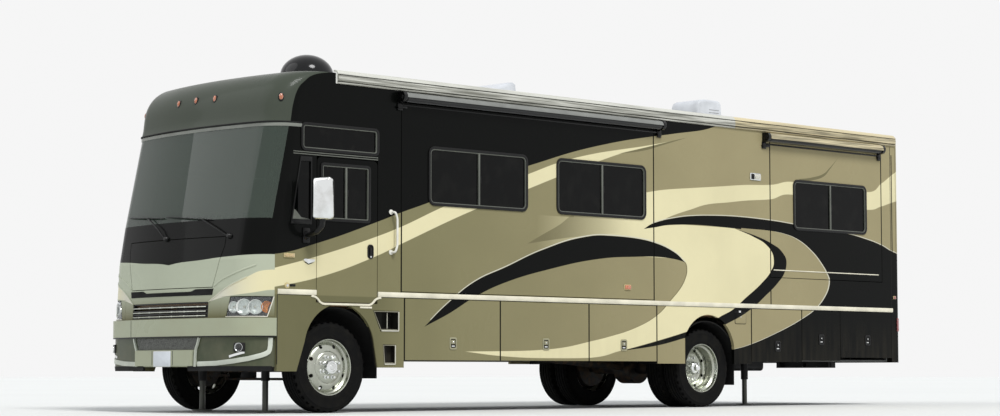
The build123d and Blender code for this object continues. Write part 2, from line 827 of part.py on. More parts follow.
def rim(x, side, y, disc, hub_in, hub_out, bore):
    """A rim: its barrel, a disc at some distance outboard of the middle, and a hub."""
    half = rim_width / 2
    with BuildPart() as dish:
        with BuildSketch(wheel_plane(x, side, y)):
            with BuildLine():
                Polyline(
                    (-half, rim_radius),
                    (half, rim_radius),
                    (half, rim_radius - 22),
                    (disc + 12, rim_radius - 40),
                    (disc + 12, 110),
                    (hub_out, 100),
                    (hub_out, bore),
                    (hub_in, bore),
                    (hub_in, 100),
                    (disc, 120),
                    (disc, rim_radius - 48),
                    (-half, rim_radius - 22),
                    close=True,
                )
            make_face()
        revolve(axis=Axis((x, y, wheel_z), (1, 0, 0)))
    return dish.part


for name, side in (("left", 1), ("right", -1)):
    front_ring = tyre(side * front_track_half, side, axle)
    rear_rings = [tyre(side * x, side, rear_axle_y) for x in (rear_outer_half, rear_inner_half)]
    front_dish = rim(side * front_track_half, side, axle, 60.0, -60.0, 100.0, spindle_radius + fit_gap)
    rear_dishes = [
        rim(side * rear_outer_half, side, rear_axle_y, -90.0, -140.0, -20.0, rear_stub + fit_gap),
        rim(side * rear_inner_half, -side, rear_axle_y, -90.0, -140.0, -20.0, rear_stub + fit_gap),
    ]
    with BuildPart() as front_tyre:
        add(front_ring)
    finish(front_tyre, f"front_{name}_tyre")
    with BuildPart() as front_rim:
        add(front_dish)
    finish(front_rim, f"front_{name}_rim")
    with BuildPart() as rear_tyres:
        add(rear_rings)
    finish(rear_tyres, f"rear_{name}_tyres")
    with BuildPart() as rear_rims:
        add(rear_dishes)
    finish(rear_rims, f"rear_{name}_rims")

# Driver's door and its glass
with BuildPart() as driver_door:
    with BuildSketch(side_plane(half_width)):
        with BuildLine() as edge:
            FilletPolyline(
                (door_front, door_low),
                (door_rear, door_low),
                (door_rear, door_high),
                (door_front, door_high),
                radius=door_corner / 2,
                close=True,
            )
        make_face()
        with Locations(((door_glass[0] + door_glass[1]) / 2, (door_glass[2] + door_glass[3]) / 2)):
            RectangleRounded(door_glass[1] - door_glass[0], door_glass[3] - door_glass[2], 30, mode=Mode.SUBTRACT)
    extrude(amount=-wall)
finish(driver_door, "driver_door")
with BuildPart() as driver_door_glass:
    with BuildSketch(side_plane(half_width - 12)):
        window_shape(*door_glass, 30)
    extrude(amount=-pane)
finish(driver_door_glass, "driver_door_glass")

# Entry door and its glass
with BuildPart() as entry_door:
    with BuildSketch(side_plane(-half_width)):
        window_shape(entry_front, entry_rear, entry_low, entry_high, 50)
        with Locations(((entry_glass[0] + entry_glass[1]) / 2, (entry_glass[2] + entry_glass[3]) / 2)):
            RectangleRounded(entry_glass[1] - entry_glass[0], entry_glass[3] - entry_glass[2], 40, mode=Mode.SUBTRACT)
    extrude(amount=wall)
finish(entry_door, "entry_door")
with BuildPart() as entry_door_glass:
    with BuildSketch(side_plane(-half_width + 12)):
        window_shape(*entry_glass, 40)
    extrude(amount=pane)
finish(entry_door_glass, "entry_door_glass")

# Compartment doors
for side, doors in ((1, left_doors), (-1, right_doors)):
    for name, front, rear, low in doors:
        with BuildPart() as bay_door:
            span(
                (side * (half_width - bay_door_thick), side * half_width),
                (axle + front + panel_gap / 2, axle + rear - panel_gap / 2),
                (low, bay_door_top),
            )
        finish(bay_door, name)

# Slide-out rooms, their windows and the covers on their roofs
for label, room, topper in (("front", front_room, front_topper), ("rear", rear_room, rear_topper)):
    room_front, room_rear, room_low, room_high, depth = room
    inner_x = half_width - depth
    windows = room_windows[label]
    with BuildPart() as slide_room:
        span((inner_x, half_width), (axle + room_front, axle + room_rear), (room_low, room_high))
        span(
            (inner_x - 10, half_width - room_wall),
            (axle + room_front + room_wall, axle + room_rear - room_wall),
            (room_low + room_wall, room_high - room_wall),
            Mode.SUBTRACT,
        )
        with BuildSketch(side_plane(half_width)):
            for front, rear in windows:
                window_shape(front, rear, window_low, window_high)
        extrude(amount=-room_wall, mode=Mode.SUBTRACT)
    finish(slide_room, f"{label}_slide_room")
    with BuildPart() as slide_windows:
        with BuildSketch(side_plane(half_width - 10)):
            for front, rear in windows:
                window_shape(front, rear, window_low, window_high)
        extrude(amount=-pane)
    finish(slide_windows, f"{label}_slide_windows")
    with BuildPart() as slide_topper:
        middle = (topper[0] + topper[1]) / 2
        with Locations(Location((topper_x, axle + middle, topper_z), (90, 0, 0))):
            Cylinder(topper_radius, topper[1] - topper[0])
        for y in (room_front + 30, room_rear - 60):
            span((half_width, topper_x), (axle + y, axle + y + 30), (room_high - 100, room_high - 5))
            span((half_width + 8, topper_x + 55), (axle + y, axle + y + 30), (room_high - 20, topper_z + 55))
    finish(slide_topper, f"{label}_slide_topper")

# Patio awning, rolled in, on the right side
awning_x = -half_width - 60.0
awning_z = 3350.0
awning_span = (1700.0, wheelbase + 1110.0)
with BuildPart() as patio_awning:
    with Locations(Location((awning_x, axle + sum(awning_span) / 2, awning_z), (90, 0, 0))):
        Cylinder(55, awning_span[1] - awning_span[0])
    for y in awning_span:
        span((-half_width - 40, -half_width), (axle + y - 25, axle + y + 25), (1300, awning_z + 60))
        span((awning_x - 60, -half_width), (axle + y - 25, axle + y + 25), (awning_z - 60, awning_z + 60))
finish(patio_awning, "patio_awning")

# Mirrors on arms ahead of the doors
mirror_x = half_width + 265.0
with BuildPart() as mirrors:
    for side in (-1, 1):
        x = side * mirror_x
        with Locations((x, axle - 380, 2200)):
            Box(230, 110, 440)
        span((side * half_width, x), (axle - 480, axle - 440), (1800, 1840))
        span((x - 20, x + 20), (axle - 480, axle - 400), (1800, 2000))
finish(mirrors, "mirrors")

# Satellite dome, air conditioner and vent cover on the roof
roof_top = roof_edge_z + roof_crown
dome_radius = 295.0
dome_rim = 70.0
dome_high = 310.0
dome_x = 300.0
dome_y = axle + 370.0
dome_centre = (dome_high**2 - dome_rim**2 - dome_radius**2) / (2 * (dome_high - dome_rim))
dome_curve = dome_high - dome_centre
dome_turn = radians(50)
roof_boxes = ((3014.0, 680.0, 1000.0, 290.0), (wheelbase + 1250.0, 480.0, 480.0, 375.0))
with BuildPart() as roof_units:
    with BuildSketch(Plane(origin=(dome_x, dome_y, roof_top - 8), x_dir=(1, 0, 0), z_dir=(0, -1, 0))):
        with BuildLine():
            Polyline((0, dome_high), (0, 0), (dome_radius, 0), (dome_radius, dome_rim))
            ThreePointArc(
                (dome_radius, dome_rim),
                (dome_curve * cos(dome_turn), dome_centre + dome_curve * sin(dome_turn)),
                (0, dome_high),
            )
        make_face()
    revolve(axis=Axis((dome_x, dome_y, 0), (0, 0, 1)))
    for y, wide, length, high in roof_boxes:
        with BuildSketch(Plane.XY.offset(roof_top - 10)):
            with Locations((0, axle + y)):
                RectangleRounded(wide, length, 90)
        extrude(amount=high)
    add(roof.part, mode=Mode.SUBTRACT)
finish(roof_units, "roof_units")

# Dashboard with the steering wheel, engine cover and seats
dash_half = half_width - 305.0
dash_setback = 110.0
corner_set = (crown_radius - corner_radius) - sqrt(
    (crown_radius - corner_radius) ** 2 - (half_width - corner_radius) ** 2
)
dash_front = axle - 1205.0 + dash_setback + corner_set
with BuildPart() as dashboard:
    span((-dash_half, dash_half), (dash_front, axle - 620), (floor_top, 1900))
    span((-dash_half + 40, dash_half - 40), (dash_front + 10, axle - 610), (floor_top, 1600), Mode.SUBTRACT)
    span((-380, 380), (dash_front, axle + 180), (floor_top, 1500))
    span((-350, 350), (dash_front + 10, axle + 170), (floor_top, 1470), Mode.SUBTRACT)
    with Locations(Location((600, axle - 560, 1800), (35, 0, 0))):
        Cylinder(25, 320)
    with Locations(Location((600, axle - 470, 1930), (35, 0, 0))):
        Torus(210, 17)
        Cylinder(45, 40)
        Box(420, 30, 16)
finish(dashboard, "dashboard")
with BuildPart() as cab_seats:
    for side in (-1, 1):
        x = side * 640
        span((x - 180, x + 180), (axle + 40, axle + 400), (floor_top, 1400))
        span((x - 260, x + 260), (axle - 60, axle + 450), (1400, 1560))
        span((x - 250, x + 250), (axle + 380, axle + 520), (1540, 2250))
finish(cab_seats, "cab_seats")

# Hitch receiver
receiver_out = 31.75
receiver_in = 25.9
pin_radius = 8.0
receiver_z = 520.0
receiver_rear = rear_end - 70.0
pin_back = 60.0
with BuildPart() as hitch_receiver:
    span((-rail_out, rail_out), (receiver_rear - 360, receiver_rear - 280), (receiver_z - 40, receiver_z + 40))
    for side in (-1, 1):
        span((side * 400, side * 450), (receiver_rear - 410, receiver_rear - 260), (receiver_z - 40, rail_low))
    span(
        (-receiver_out, receiver_out),
        (receiver_rear - 360, receiver_rear),
        (receiver_z - receiver_out, receiver_z + receiver_out),
    )
    span(
        (-receiver_in, receiver_in),
        (receiver_rear - 370, receiver_rear + 10),
        (receiver_z - receiver_in, receiver_z + receiver_in),
        Mode.SUBTRACT,
    )
    with Locations(Location((0, receiver_rear - pin_back, receiver_z), (0, 90, 0))):
        Cylinder(pin_radius, 100, mode=Mode.SUBTRACT)
finish(hitch_receiver, "hitch_receiver")
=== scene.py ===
"""The looks of a bus-shaped motorhome, built round its CAD frame by one operator for each group."""

from math import atan2, cos, hypot, pi, radians, sin, sqrt

import bmesh
import bpy
from mathutils import Matrix, Vector


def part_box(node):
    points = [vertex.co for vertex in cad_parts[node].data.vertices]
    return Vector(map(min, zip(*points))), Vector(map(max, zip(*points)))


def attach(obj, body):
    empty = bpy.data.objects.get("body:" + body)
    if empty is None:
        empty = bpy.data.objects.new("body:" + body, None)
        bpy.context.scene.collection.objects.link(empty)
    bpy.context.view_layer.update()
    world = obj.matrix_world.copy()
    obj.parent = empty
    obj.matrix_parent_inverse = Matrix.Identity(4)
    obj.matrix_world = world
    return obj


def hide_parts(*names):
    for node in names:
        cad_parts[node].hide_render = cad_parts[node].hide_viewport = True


bl_info = {
    "name": "Motorhome looks",
    "version": (1, 0, 0),
    "blender": (4, 5, 0),
    "location": "View3D > Sidebar > Motorhome",
    "description": "Paint, glass, lamps, wheels and trim for a motorhome",
    "category": "Add Mesh",
}

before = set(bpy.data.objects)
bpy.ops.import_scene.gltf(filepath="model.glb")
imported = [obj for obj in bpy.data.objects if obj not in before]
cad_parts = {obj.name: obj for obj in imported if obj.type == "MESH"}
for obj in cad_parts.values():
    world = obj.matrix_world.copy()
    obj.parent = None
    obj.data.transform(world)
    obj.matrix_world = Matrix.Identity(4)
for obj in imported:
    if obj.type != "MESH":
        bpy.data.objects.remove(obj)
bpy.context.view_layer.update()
RIM_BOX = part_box("front_left_rim")
AXLE_Y = (RIM_BOX[0].y + RIM_BOX[1].y) / 2
WHEEL_Z = (RIM_BOX[0].z + RIM_BOX[1].z) / 2
REAR_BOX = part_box("rear_left_tyres")
REAR_Y = (REAR_BOX[0].y + REAR_BOX[1].y) / 2
SIDE_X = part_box("left_wall")[1].x
# Places that the pieces share, in metres. Those called back are distances behind the front axle
LIFT = 0.045
SOFT_EDGE = 0.003
WHEEL_X, TWIN_X = 1.07, (1.075, 0.795)
REAR_WALL = 5.45
WINDOW_HEIGHTS, GLASS_SUNK = (2.225, 2.855), 0.011
BUMPER_BACK = -1.275
BUMPER_CORNER_X, BUMPER_CORNER_BACK, BUMPER_ROUND = 0.965, -0.861, 0.292
FOG_LAMP_DEGREES = 31
PLATE_Y, PLATE_Z = -5.4555, 0.558
MIRROR_X, MIRROR_BACK = 1.548, -0.392
ROLLER_X, ROLLER_Z = 1.345, 3.352
AWNING_BACK = (1.7, 6.9)
DOME_X, DOME_BACK = 0.3, 0.37
SEAT_X, SEAT_FRONT = 0.64, -4.24
CAMERA_PLACE = (19.3835, -18.8226, 0.4175)


def tone(red, green, blue):
    """A paint colour from the three numbers of a colour chart, 0 to 255."""
    return tuple(((v / 255 + 0.055) / 1.055) ** 2.4 if v > 10 else v / 3294.6 for v in (red, green, blue))


def colour_setting(name, description, default):
    return bpy.props.FloatVectorProperty(
        name=name, description=description, subtype="COLOR", size=3, min=0, max=1, default=default
    )


def length_setting(name, description, default):
    return bpy.props.FloatProperty(name=name, description=description, unit="LENGTH", default=default, min=0)


def angle_setting(name, description, degrees):
    return bpy.props.FloatProperty(
        name=name, description=description, subtype="ANGLE", default=radians(degrees)
    )


def count_setting(name, description, default, least):
    return bpy.props.IntProperty(name=name, description=description, default=default, min=least)


class PaintSettings(bpy.types.PropertyGroup):
    """Colours of the body."""

    # Taupe and sand are one wall paint in two lights: taupe is its painted shade at the front, sand its
    # painted sunlight at the rear
    taupe: colour_setting("Taupe", "Main colour of the walls at the front", tone(126, 121, 89))
    sunlit_taupe: colour_setting("Sand", "Main colour of the walls at the rear", tone(154, 144, 110))
    cream: colour_setting("Cream", "Light stripes", tone(222, 213, 172))
    dark: colour_setting("Black", "Dark sweeps and the upper front", tone(6, 7, 6))
    shade: colour_setting("Shade", "Darker taupe of the small feathers", tone(114, 108, 80))
    sage: colour_setting("Sage", "Metallic colour of the nose", tone(176, 181, 160))
    # Painted shade: the lower taupe darkens the walls below the belt round the front wheel and the bottom of
    # the nose
    skirt_shade: colour_setting("Lower taupe", "Colour round the front wheel", tone(107, 104, 75))
    brow: colour_setting("Brow", "Dark metallic over the windscreen", tone(70, 75, 66))
    bumper: colour_setting("Bumper", "Metallic of the bumper", tone(160, 164, 140))
    pin: colour_setting("Pinstripe", "Thin light edge along the dark sweeps", tone(206, 203, 186))
    roof: colour_setting("Roof", "White of the roof", tone(222, 221, 214))
    flake: length_setting("Flake", "Size of the metal flakes in the paint", 0.0012)


class WheelSettings(bpy.types.PropertyGroup):
    """Sizes of the wheels."""

    tread_grooves: count_setting("Grooves", "Grooves round the tread", 4, 2)
    hand_holes: count_setting("Hand holes", "Holes round each disc", 8, 4)
    nuts: count_setting("Nuts", "Wheel nuts on each hub", 8, 5)
    groove_depth: length_setting("Groove depth", "Depth of the tread", 0.012)


class TrimSettings(bpy.types.PropertyGroup):
    """Sizes of the trim."""

    window_frame: length_setting("Window frame", "Width of a window's frame", 0.03)
    frame_proud: length_setting("Frame height", "How far a window's frame stands off the wall", 0.012)
    moulding: length_setting("Moulding", "Height of the belt moulding", 0.048)


class StageSettings(bpy.types.PropertyGroup):
    """Camera and light."""

    focal: bpy.props.FloatProperty(
        name="Focal length", description="Lens, on a 36 mm sensor", default=80.542, min=1
    )
    turn: angle_setting("Turn", "Direction of view from the front", 46.84)
    rise: angle_setting("Rise", "Upward tilt of the camera", 4.206)
    sun: bpy.props.FloatProperty(name="Sun", description="Strength of the soft sun", default=2.4, min=0)


def feed(tree, node, socket, value):
    """Gives an input of a node a number or colour, or joins another node's output to it."""
    if isinstance(value, bpy.types.NodeSocket):
        tree.links.new(value, node.inputs[socket])
    else:
        node.inputs[socket].default_value = value


def add_node(tree, kind, **inputs):
    """Adds a node and feeds its inputs by their names."""
    node = tree.nodes.new(kind)
    for socket, value in inputs.items():
        feed(tree, node, socket, value)
    return node


def arithmetic(tree, operation, *values, clamp=False):
    node = tree.nodes.new("ShaderNodeMath")
    node.operation = operation
    node.use_clamp = clamp
    for i, value in enumerate(values):
        feed(tree, node, i, value)
    return node.outputs[0]


class Finish:
    """One material and short calls for its nodes."""

    def __init__(self, name, colour, rough=0.5, metal=0):
        self.material = bpy.data.materials.new(name)
        self.material.use_nodes = True
        self.tree = self.material.node_tree
        self.shader = self.tree.nodes["Principled BSDF"]
        self.place = self.tree.nodes.new("ShaderNodeTexCoord").outputs["Object"]
        self.set("Base Color", (*colour, 1.0))
        self.set("Roughness", rough)
        self.set("Metallic", metal)
        self.material.diffuse_color = (*colour, 1.0)

    def set(self, socket, value):
        feed(self.tree, self.shader, socket, value)

    def tint(self, value, low, high, first, second, end=1.0):
        """Colours the surface between two colours as a value rises. end is the second's largest share."""
        self.set("Base Color", self.mix(self.ramp(value, low, high, 0, end), first, second))

    def wear(self, value, low, high, start, end):
        """Takes the roughness from start to end as a value goes from low to high."""
        self.set("Roughness", self.ramp(value, low, high, start, end))

    def sum(self, operation, *values, clamp=False):
        return arithmetic(self.tree, operation, *values, clamp=clamp)

    def axes(self):
        return add_node(self.tree, "ShaderNodeSeparateXYZ", Vector=self.place).outputs

    def noise(self, scale, detail, stretch=None):
        """Noise over the object's coordinates, drawn out along some axes where a stretch is given."""
        place = self.place
        if stretch:
            place = add_node(self.tree, "ShaderNodeMapping", Scale=stretch, Vector=place).outputs[0]
        return add_node(self.tree, "ShaderNodeTexNoise", Scale=scale, Detail=detail, Vector=place).outputs[0]

    def cells(self, scale):
        return add_node(self.tree, "ShaderNodeTexVoronoi", Scale=scale, Vector=self.place).outputs["Distance"]

    def ramp(self, value, low, high, start=0, end=1.0):
        """Maps a value from low..high to start..end, held at both ends."""
        node = self.tree.nodes.new("ShaderNodeMapRange")
        for i, number in enumerate((value, low, high, start, end)):
            feed(self.tree, node, i, number)
        return node.outputs[0]

    def mix(self, share, first, second, blend="MIX"):
        node = self.tree.nodes.new("ShaderNodeMix")
        node.data_type = "RGBA"
        node.blend_type = blend
        feed(self.tree, node, 0, share)
        # The two colours of a mix are its inputs 6 and 7, and the mixed colour is its output 2
        for index, value in ((6, first), (7, second)):
            if not isinstance(value, bpy.types.NodeSocket) and len(value) == 3:
                value = (*value, 1.0)
            feed(self.tree, node, index, value)
        return node.outputs[2]

    def bump(self, height, distance, strength):
        """Adds a bump on top of those that the surface has."""
        node = add_node(self.tree, "ShaderNodeBump", Distance=distance, Strength=strength, Height=height)
        normal = self.shader.inputs["Normal"]
        if normal.is_linked:
            self.tree.links.new(normal.links[0].from_socket, node.inputs["Normal"])
        self.tree.links.new(node.outputs[0], normal)

    def curve(self, value, points):
        """A smooth line through points, read at a value. It stays level beyond its first and last points."""
        starts = [p[0] for p in points]
        heights = [p[1] for p in points]
        low, high = min(heights), max(heights)
        high = max(high, low + 1e-4)
        node = self.tree.nodes.new("ShaderNodeFloatCurve")
        line = node.mapping.curves[0]
        for i, (start, height) in enumerate(points):
            spot = ((start - starts[0]) / (starts[-1] - starts[0]), (height - low) / (high - low))
            if i < 2:
                line.points[i].location = spot
            else:
                line.points.new(*spot)
        for point in line.points:
            point.handle_type = "AUTO_CLAMPED"
        node.mapping.update()
        feed(self.tree, node, 0, 1.0)
        feed(self.tree, node, 1, self.ramp(value, starts[0], starts[-1]))
        return self.sum("MULTIPLY_ADD", node.outputs[0], high - low, low)

    def over(self, value, limit):
        """1 where value is above limit, 0 below, with a soft edge."""
        return self.sum("MULTIPLY", self.sum("SUBTRACT", value, limit), 1 / SOFT_EDGE, clamp=True)

    def both(self, *masks):
        found = masks[0]
        for mask in masks[1:]:
            found = self.sum("MULTIPLY", found, mask)
        return found

    def band(self, value, low, high):
        return self.both(self.over(value, low), self.over(high, value))


MATERIALS = {}


def kept(maker):
    """Makes a material once and gives the same one again after that."""

    def get(*args):
        key = (maker.__name__, args)
        if key not in MATERIALS:
            MATERIALS[key] = maker(*args)
        return MATERIALS[key]

    return get


# The side's pattern: distances behind the front axle, heights above the ground less the lift of the body
DARK_EDGE = (
    (-0.9, 1.568), (-0.77, 1.576), (-0.28, 1.695), (0.55, 1.958), (0.887, 2.076), (1.27, 2.2), (2.0, 2.46),
    (2.755, 2.69), (3.03, 2.77), (3.19, 2.818), (3.43, 2.886), (3.676, 2.949), (3.966, 3.015), (4.26, 3.077),
    (4.52, 3.125), (4.863, 3.182), (5.19, 3.234), (5.9, 3.366), (6.3, 3.6),
)
STRIPE_TOP = (
    (-0.9, 1.41), (-0.28, 1.563), (0.55, 1.808), (0.887, 1.926), (1.484, 2.168), (2.2, 2.42), (2.755, 2.6),
    (3.3, 2.78), (3.8, 2.9), (4.3, 2.99), (4.66, 3.05), (5.37, 3.19),
)
STRIPE_LOW = (
    (-0.9, 1.22), (-0.28, 1.339), (0.55, 1.6), (0.887, 1.739), (1.997, 2.176), (2.755, 2.43), (3.3, 2.62),
    (4.0, 2.85), (4.3, 2.94), (4.66, 3.02), (5.37, 3.19),
)
TIP_TOP = ((4.2, 2.925), (4.66, 3.03), (5.37, 3.195), (5.45, 3.21))
TIP_LOW = ((4.2, 2.925), (4.66, 2.995), (5.0, 3.085), (5.45, 3.21))
SWOOSH_TOP = (
    (1.208, 0.858), (1.55, 1.12), (2.0, 1.392), (2.4, 1.537), (3.0, 1.76), (3.66, 1.93), (4.0, 1.963),
    (4.5, 1.953), (4.84, 1.913), (5.19, 1.813), (5.387, 1.695),
)
SWOOSH_LOW = (
    (1.208, 0.858), (1.55, 1.0), (2.0, 1.22), (2.4, 1.366), (3.0, 1.518), (4.0, 1.695), (4.5, 1.729),
    (4.84, 1.742), (5.19, 1.726), (5.387, 1.695),
)
DROP_EDGE = (
    (0.6, 1.75), (0.606, 2.2), (0.612, 2.6), (0.629, 3.0), (0.66, 3.35), (0.726, 3.734), (0.774, 4.0),
    (0.892, 4.5), (1.05, 4.887), (1.234, 5.13), (1.38, 5.3), (1.484, 5.38), (1.6, 5.42), (1.695, 5.39),
    (1.74, 5.15), (1.75, 2.7), (2.3, 2.7),
)
FIELD_LOW = (
    (1.8, 0.6), (2.4, 0.55), (3.0, 0.533), (3.734, 0.539), (4.242, 0.621), (4.879, 0.745), (5.426, 0.866),
    (5.6, 0.91),
)
WEDGE_LOW = ((4.1, 0.6), (4.242, 0.618), (4.879, 0.69), (5.374, 0.785), (5.6, 0.83))
FEATHER_TOP = ((2.74, 1.813), (3.0, 1.935), (3.25, 2.05), (3.49, 2.19), (3.9, 2.35), (4.4, 2.44))
FEATHER_LOW = ((2.74, 1.813), (3.1, 1.868), (3.49, 1.92), (3.9, 1.965), (4.4, 2.02))
RISE_TOP = (
    (4.65, 2.063), (4.84, 2.147), (5.19, 2.22), (5.5, 2.26), (6.0, 2.287), (6.27, 2.292), (7.0, 2.274),
    (7.43, 2.247), (8.484, 2.176), (8.93, 2.116), (9.247, 2.05), (9.445, 1.984), (9.63, 1.94),
)
RISE_LOW = ((4.65, 2.063), (4.84, 2.09), (5.19, 2.137), (5.69, 2.155), (6.08, 2.148), (6.42, 2.138))
OUTER_EDGE = (
    (0.6, 5.95), (0.655, 6.26), (0.7, 6.5), (0.84, 7.0), (1.063, 7.616), (1.195, 7.879), (1.326, 8.037),
    (1.458, 8.13), (1.563, 8.15), (1.629, 8.116), (1.76, 8.0), (1.918, 7.8), (2.063, 7.5), (2.125, 7.2),
    (2.147, 6.9), (2.155, 6.3),
)
BAND_OUTER = (
    (0.9, 5.95), (0.97, 6.142), (1.037, 6.326), (1.18, 6.64), (1.313, 6.85), (1.497, 7.116), (1.629, 7.247),
    (1.76, 7.287), (1.892, 7.195), (1.984, 7.0), (2.063, 6.72), (2.142, 6.3),
)
BAND_INNER = (
    (0.9, 5.72), (0.97, 5.85), (1.05, 6.01), (1.142, 6.247), (1.287, 6.484), (1.484, 6.8), (1.642, 6.984),
    (1.747, 7.037), (1.84, 7.024), (1.958, 6.905), (2.05, 6.668), (2.142, 6.3),
)
REAR_TOP = (
    (3.49, 2.19), (3.9, 2.35), (4.69, 2.5), (5.0, 2.55), (5.5, 2.6), (6.0, 2.647), (6.5, 2.695), (7.0, 2.726),
    (7.43, 2.787), (8.0, 2.76), (8.93, 2.742), (9.247, 2.866), (9.484, 2.997), (9.63, 3.07),
)
REAR_LOW = (
    (3.49, 1.94), (4.4, 2.0), (4.69, 2.08), (4.84, 2.12), (5.11, 2.229), (5.5, 2.339), (5.82, 2.418),
    (6.19, 2.46), (6.5, 2.497), (7.0, 2.542), (7.38, 2.62), (8.0, 2.56), (8.93, 2.505), (9.247, 2.563),
    (9.445, 2.616), (9.63, 2.663),
)
TAIL_TOP = ((7.55, 2.83), (7.8, 2.865), (8.037, 2.925), (8.168, 3.01), (8.366, 3.17))
TAIL_LOW = ((7.55, 2.8), (7.8, 2.825), (8.037, 2.885), (8.168, 2.985), (8.366, 3.17))
# The nose's pattern: distances from the middle, heights less the lift
NOSE_DARK = ((0, 1.487), (0.19, 1.507), (0.516, 1.522), (0.808, 1.543), (1.074, 1.556), (1.285, 1.568))
NOSE_STRIPE_TOP = (
    (0.677, 1.091), (0.763, 1.146), (0.856, 1.2), (0.966, 1.254), (1.088, 1.302), (1.177, 1.351),
    (1.241, 1.397), (1.285, 1.415),
)
NOSE_STRIPE_LOW = (
    (0.677, 1.091), (0.763, 1.11), (0.902, 1.138), (1.098, 1.16), (1.216, 1.179), (1.285, 1.206),
)
CAP_EDGE = (
    (1.5, -0.8), (1.93, -0.8), (2.96, -0.6), (3.13, -0.57), (3.27, -0.52), (3.38, -0.42), (3.44, -0.33),
    (3.5, -0.06),
)
# Joints between doors below the belt and between panels above it, as distances behind the front axle
LOW_JOINTS = (0.934, 2.334, 3.734, 4.879, 6.597, 7.576, 8.353)
TALL_JOINTS = (0.887, 4.834, 6.976, 9.247, 9.475)
JOINT_HALF = 0.011
# Heights less the lift: the belt, the top of the tall joints and the lower edge of the brow
BELT_Z, JOINT_TOP, BROW_Z = 1.17, 3.262, 2.93


